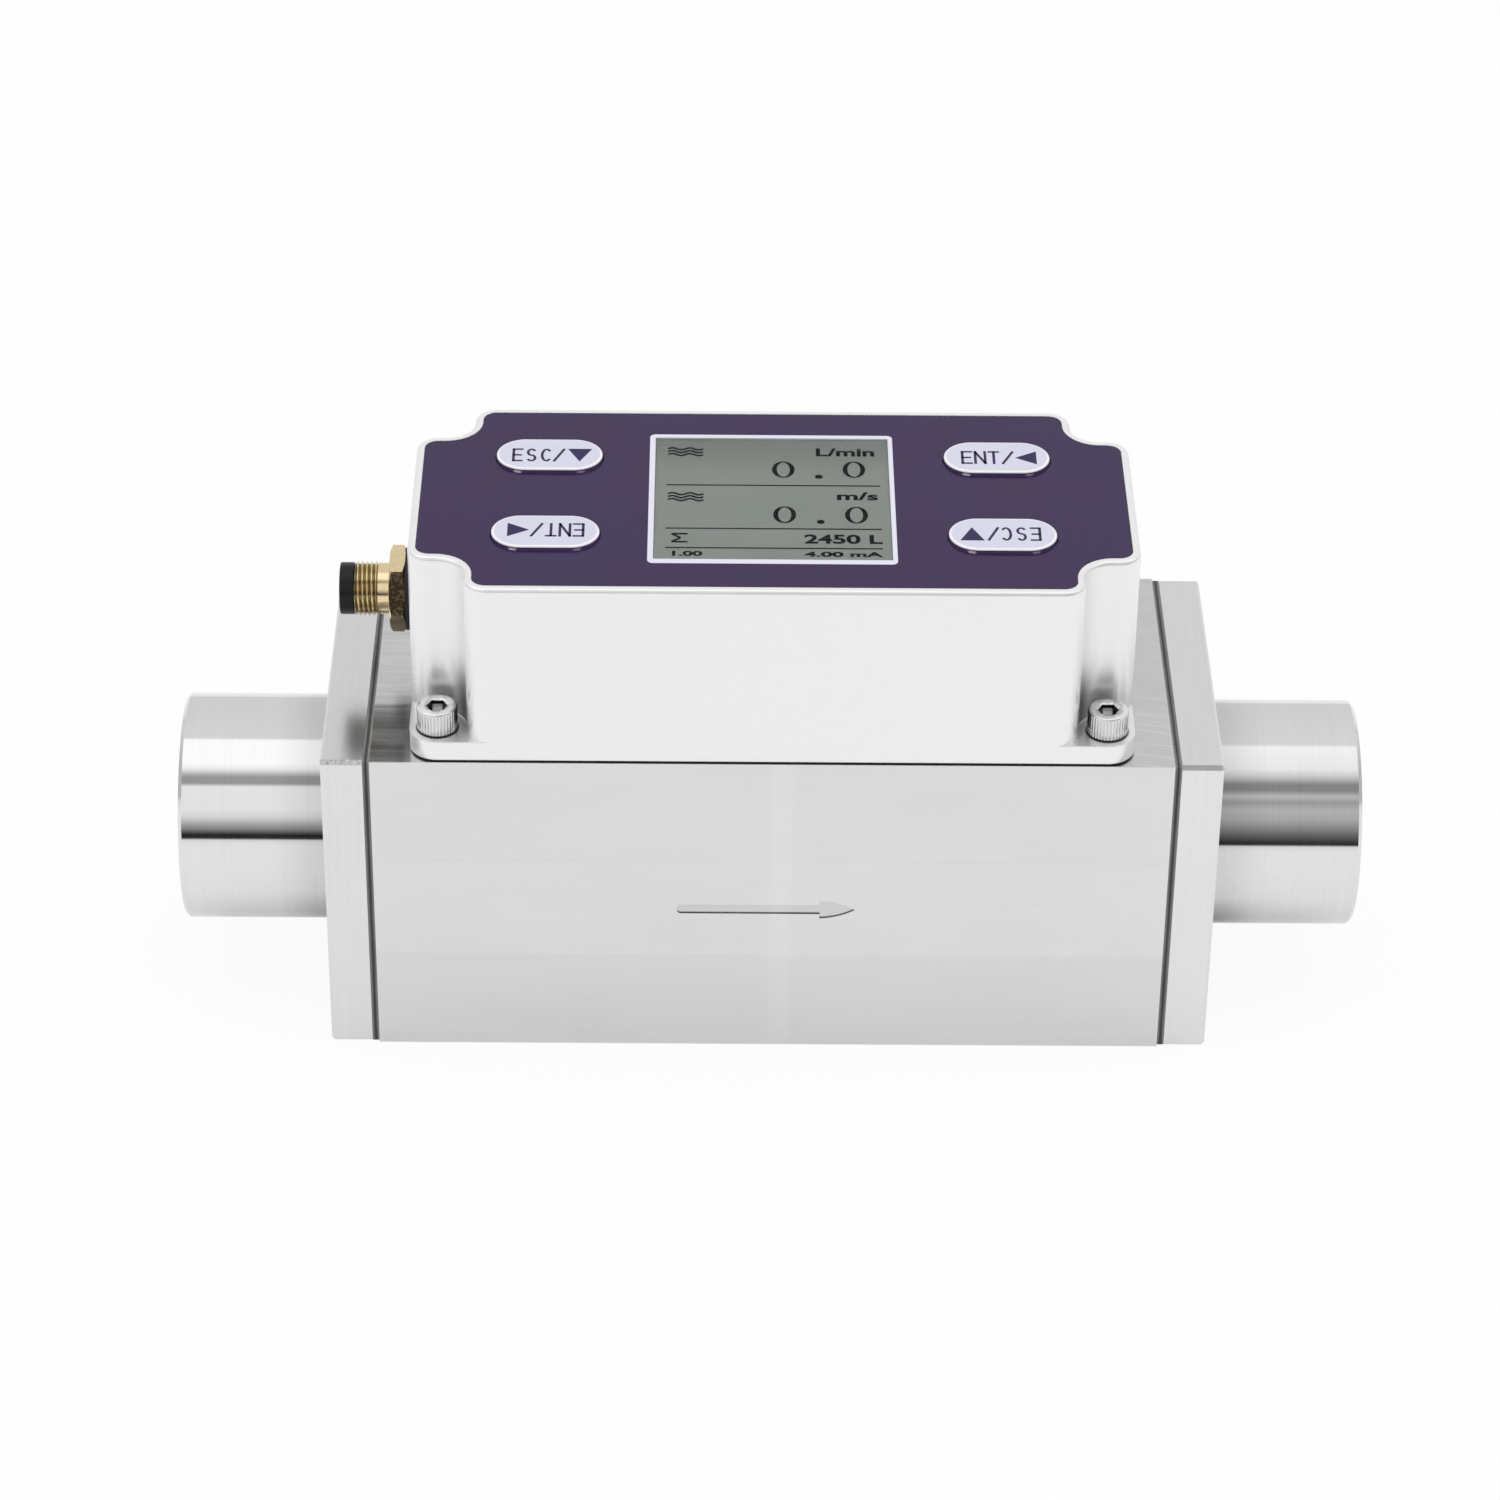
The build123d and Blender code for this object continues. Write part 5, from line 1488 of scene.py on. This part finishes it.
def makeFloor():
    # Shown to the camera, and to metal and glass, as near white, with the diffuse part for the shadow
    material = bpy.data.materials.new("floorPale")
    material.use_nodes = True
    tree = material.node_tree
    tree.nodes.remove(tree.nodes["Principled BSDF"])
    rays = addNode(tree, "ShaderNodeLightPath").outputs
    seen = calc(tree, "MAXIMUM", rays["Is Camera Ray"], rays["Is Transmission Ray"])
    seen = product(tree, seen, studio["floorShown"])
    share = calc(tree, "MAXIMUM", seen, product(tree, rays["Is Glossy Ray"], studio["floorReflected"]))
    plain = addNode(tree, "ShaderNodeBsdfDiffuse", {0: rgba(studio["floorColour"])}).outputs[0]
    white = addNode(tree, "ShaderNodeEmission", {0: rgba(1.0)}).outputs[0]
    mix = addNode(tree, "ShaderNodeMixShader", {0: share, 1: plain, 2: white}).outputs[0]
    tree.links.new(mix, tree.nodes["Material Output"].inputs[0])
    half = studio["floorHalf"] * mm
    mesh = bpy.data.meshes.new("floor")
    corners = [(-half, -half, 0), (half, -half, 0), (half, half, 0), (-half, half, 0)]
    mesh.from_pydata(corners, [], [(0, 1, 2, 3)])
    mesh.materials.append(material)
    floor = bpy.data.objects.new("floor", mesh)
    scene.collection.objects.link(floor)


def makeRoom():
    # Camera and glass see white; metal sees a ramp by the angle round the x axis, one for rays going
    # left and one for right, evened towards the sides; everything else is lit by one plain level
    world = bpy.data.worlds.new("room")
    world.use_nodes = True
    world.cycles.sampling_method = "NONE"
    scene.world = world
    tree = world.node_tree
    background = tree.nodes["Background"]
    direction = addNode(tree, "ShaderNodeTexCoord").outputs["Generated"]
    x, y, z = splitVector(tree, vectorCalc(tree, "NORMALIZE", direction))
    angle = calc(tree, "ARCTAN2", z, product(tree, y, -1.0))
    place = straightLine(tree, angle, 1 / (2 * math.pi), 0.5)
    sides = []
    for bands in (studio["leftBands"], studio["rightBands"]):
        ramp = addNode(tree, "ShaderNodeValToRGB", {0: place})
        stops = ramp.color_ramp.elements
        stops[0].position, stops[1].position = 0.0, 1.0
        stops[0].color, stops[1].color = rgba(bands[0][1]), rgba(bands[-1][1])
        for degrees, level in bands[1:-1]:
            stops.new(degrees / 360 + 0.5).color = rgba(level)
        sides.append(ramp.outputs[0])
    around = mixColour(tree, smoothRange(tree, x, -0.08, 0.08), *sides)
    toSide = smoothRange(tree, absolute(tree, x), 0.72, 0.97)
    reflected = mixColour(tree, toSide, around, studio["sideLevel"])
    rays = addNode(tree, "ShaderNodeLightPath").outputs
    shown = mixColour(tree, rays["Is Glossy Ray"], studio["roomLevel"], reflected)
    seen = calc(tree, "MAXIMUM", rays["Is Camera Ray"], rays["Is Transmission Ray"])
    tree.links.new(mixColour(tree, seen, shown, 1.0), background.inputs["Color"])


def makeLamp():
    lamp = bpy.data.lights.new("overhead", "AREA")
    lamp.shape = "RECTANGLE"
    lamp.size, lamp.size_y = studio["lampSize"]
    lamp.energy = studio["lampPower"]
    holder = bpy.data.objects.new("overhead", lamp)
    holder.location = studio["lampPlace"]
    holder.visible_glossy = False  # metal reflects the room's bands instead
    scene.collection.objects.link(holder)


cameraView = {
    "place": (-13.112, -926.440, 684.613),
    "focal": 5058.4,
    "frame": 1500,
    "elevation": 34.276,
    "yaw": 0.535,
    "roll": 0.67,
}


def makeCamera():
    # Right, up and back from yaw and elevation, then turned by the roll
    up, yaw, roll = (math.radians(cameraView[name]) for name in ("elevation", "yaw", "roll"))
    right = np.array([math.cos(yaw), -math.sin(yaw), 0.0])
    forward = np.array([math.sin(yaw) * math.cos(up), math.cos(yaw) * math.cos(up), -math.sin(up)])
    above = np.cross(right, forward)
    rolledRight = math.cos(roll) * right + math.sin(roll) * above
    rolledUp = -math.sin(roll) * right + math.cos(roll) * above
    data = bpy.data.cameras.new("photoCamera")
    data.sensor_width = 36.0
    data.lens = cameraView["focal"] / cameraView["frame"] * data.sensor_width
    data.clip_start, data.clip_end = 0.05, 20.0
    camera = bpy.data.objects.new("photoCamera", data)
    turn = Matrix(np.stack([rolledRight, rolledUp, -forward], 1).tolist()).to_4x4()
    camera.matrix_world = Matrix.Translation(Vector(cameraView["place"]) * mm) @ turn
    scene.collection.objects.link(camera)
    scene.camera = camera


makeFloor()
makeRoom()
makeLamp()
makeCamera()
scene.view_settings.view_transform = "Standard"
print("studio made")
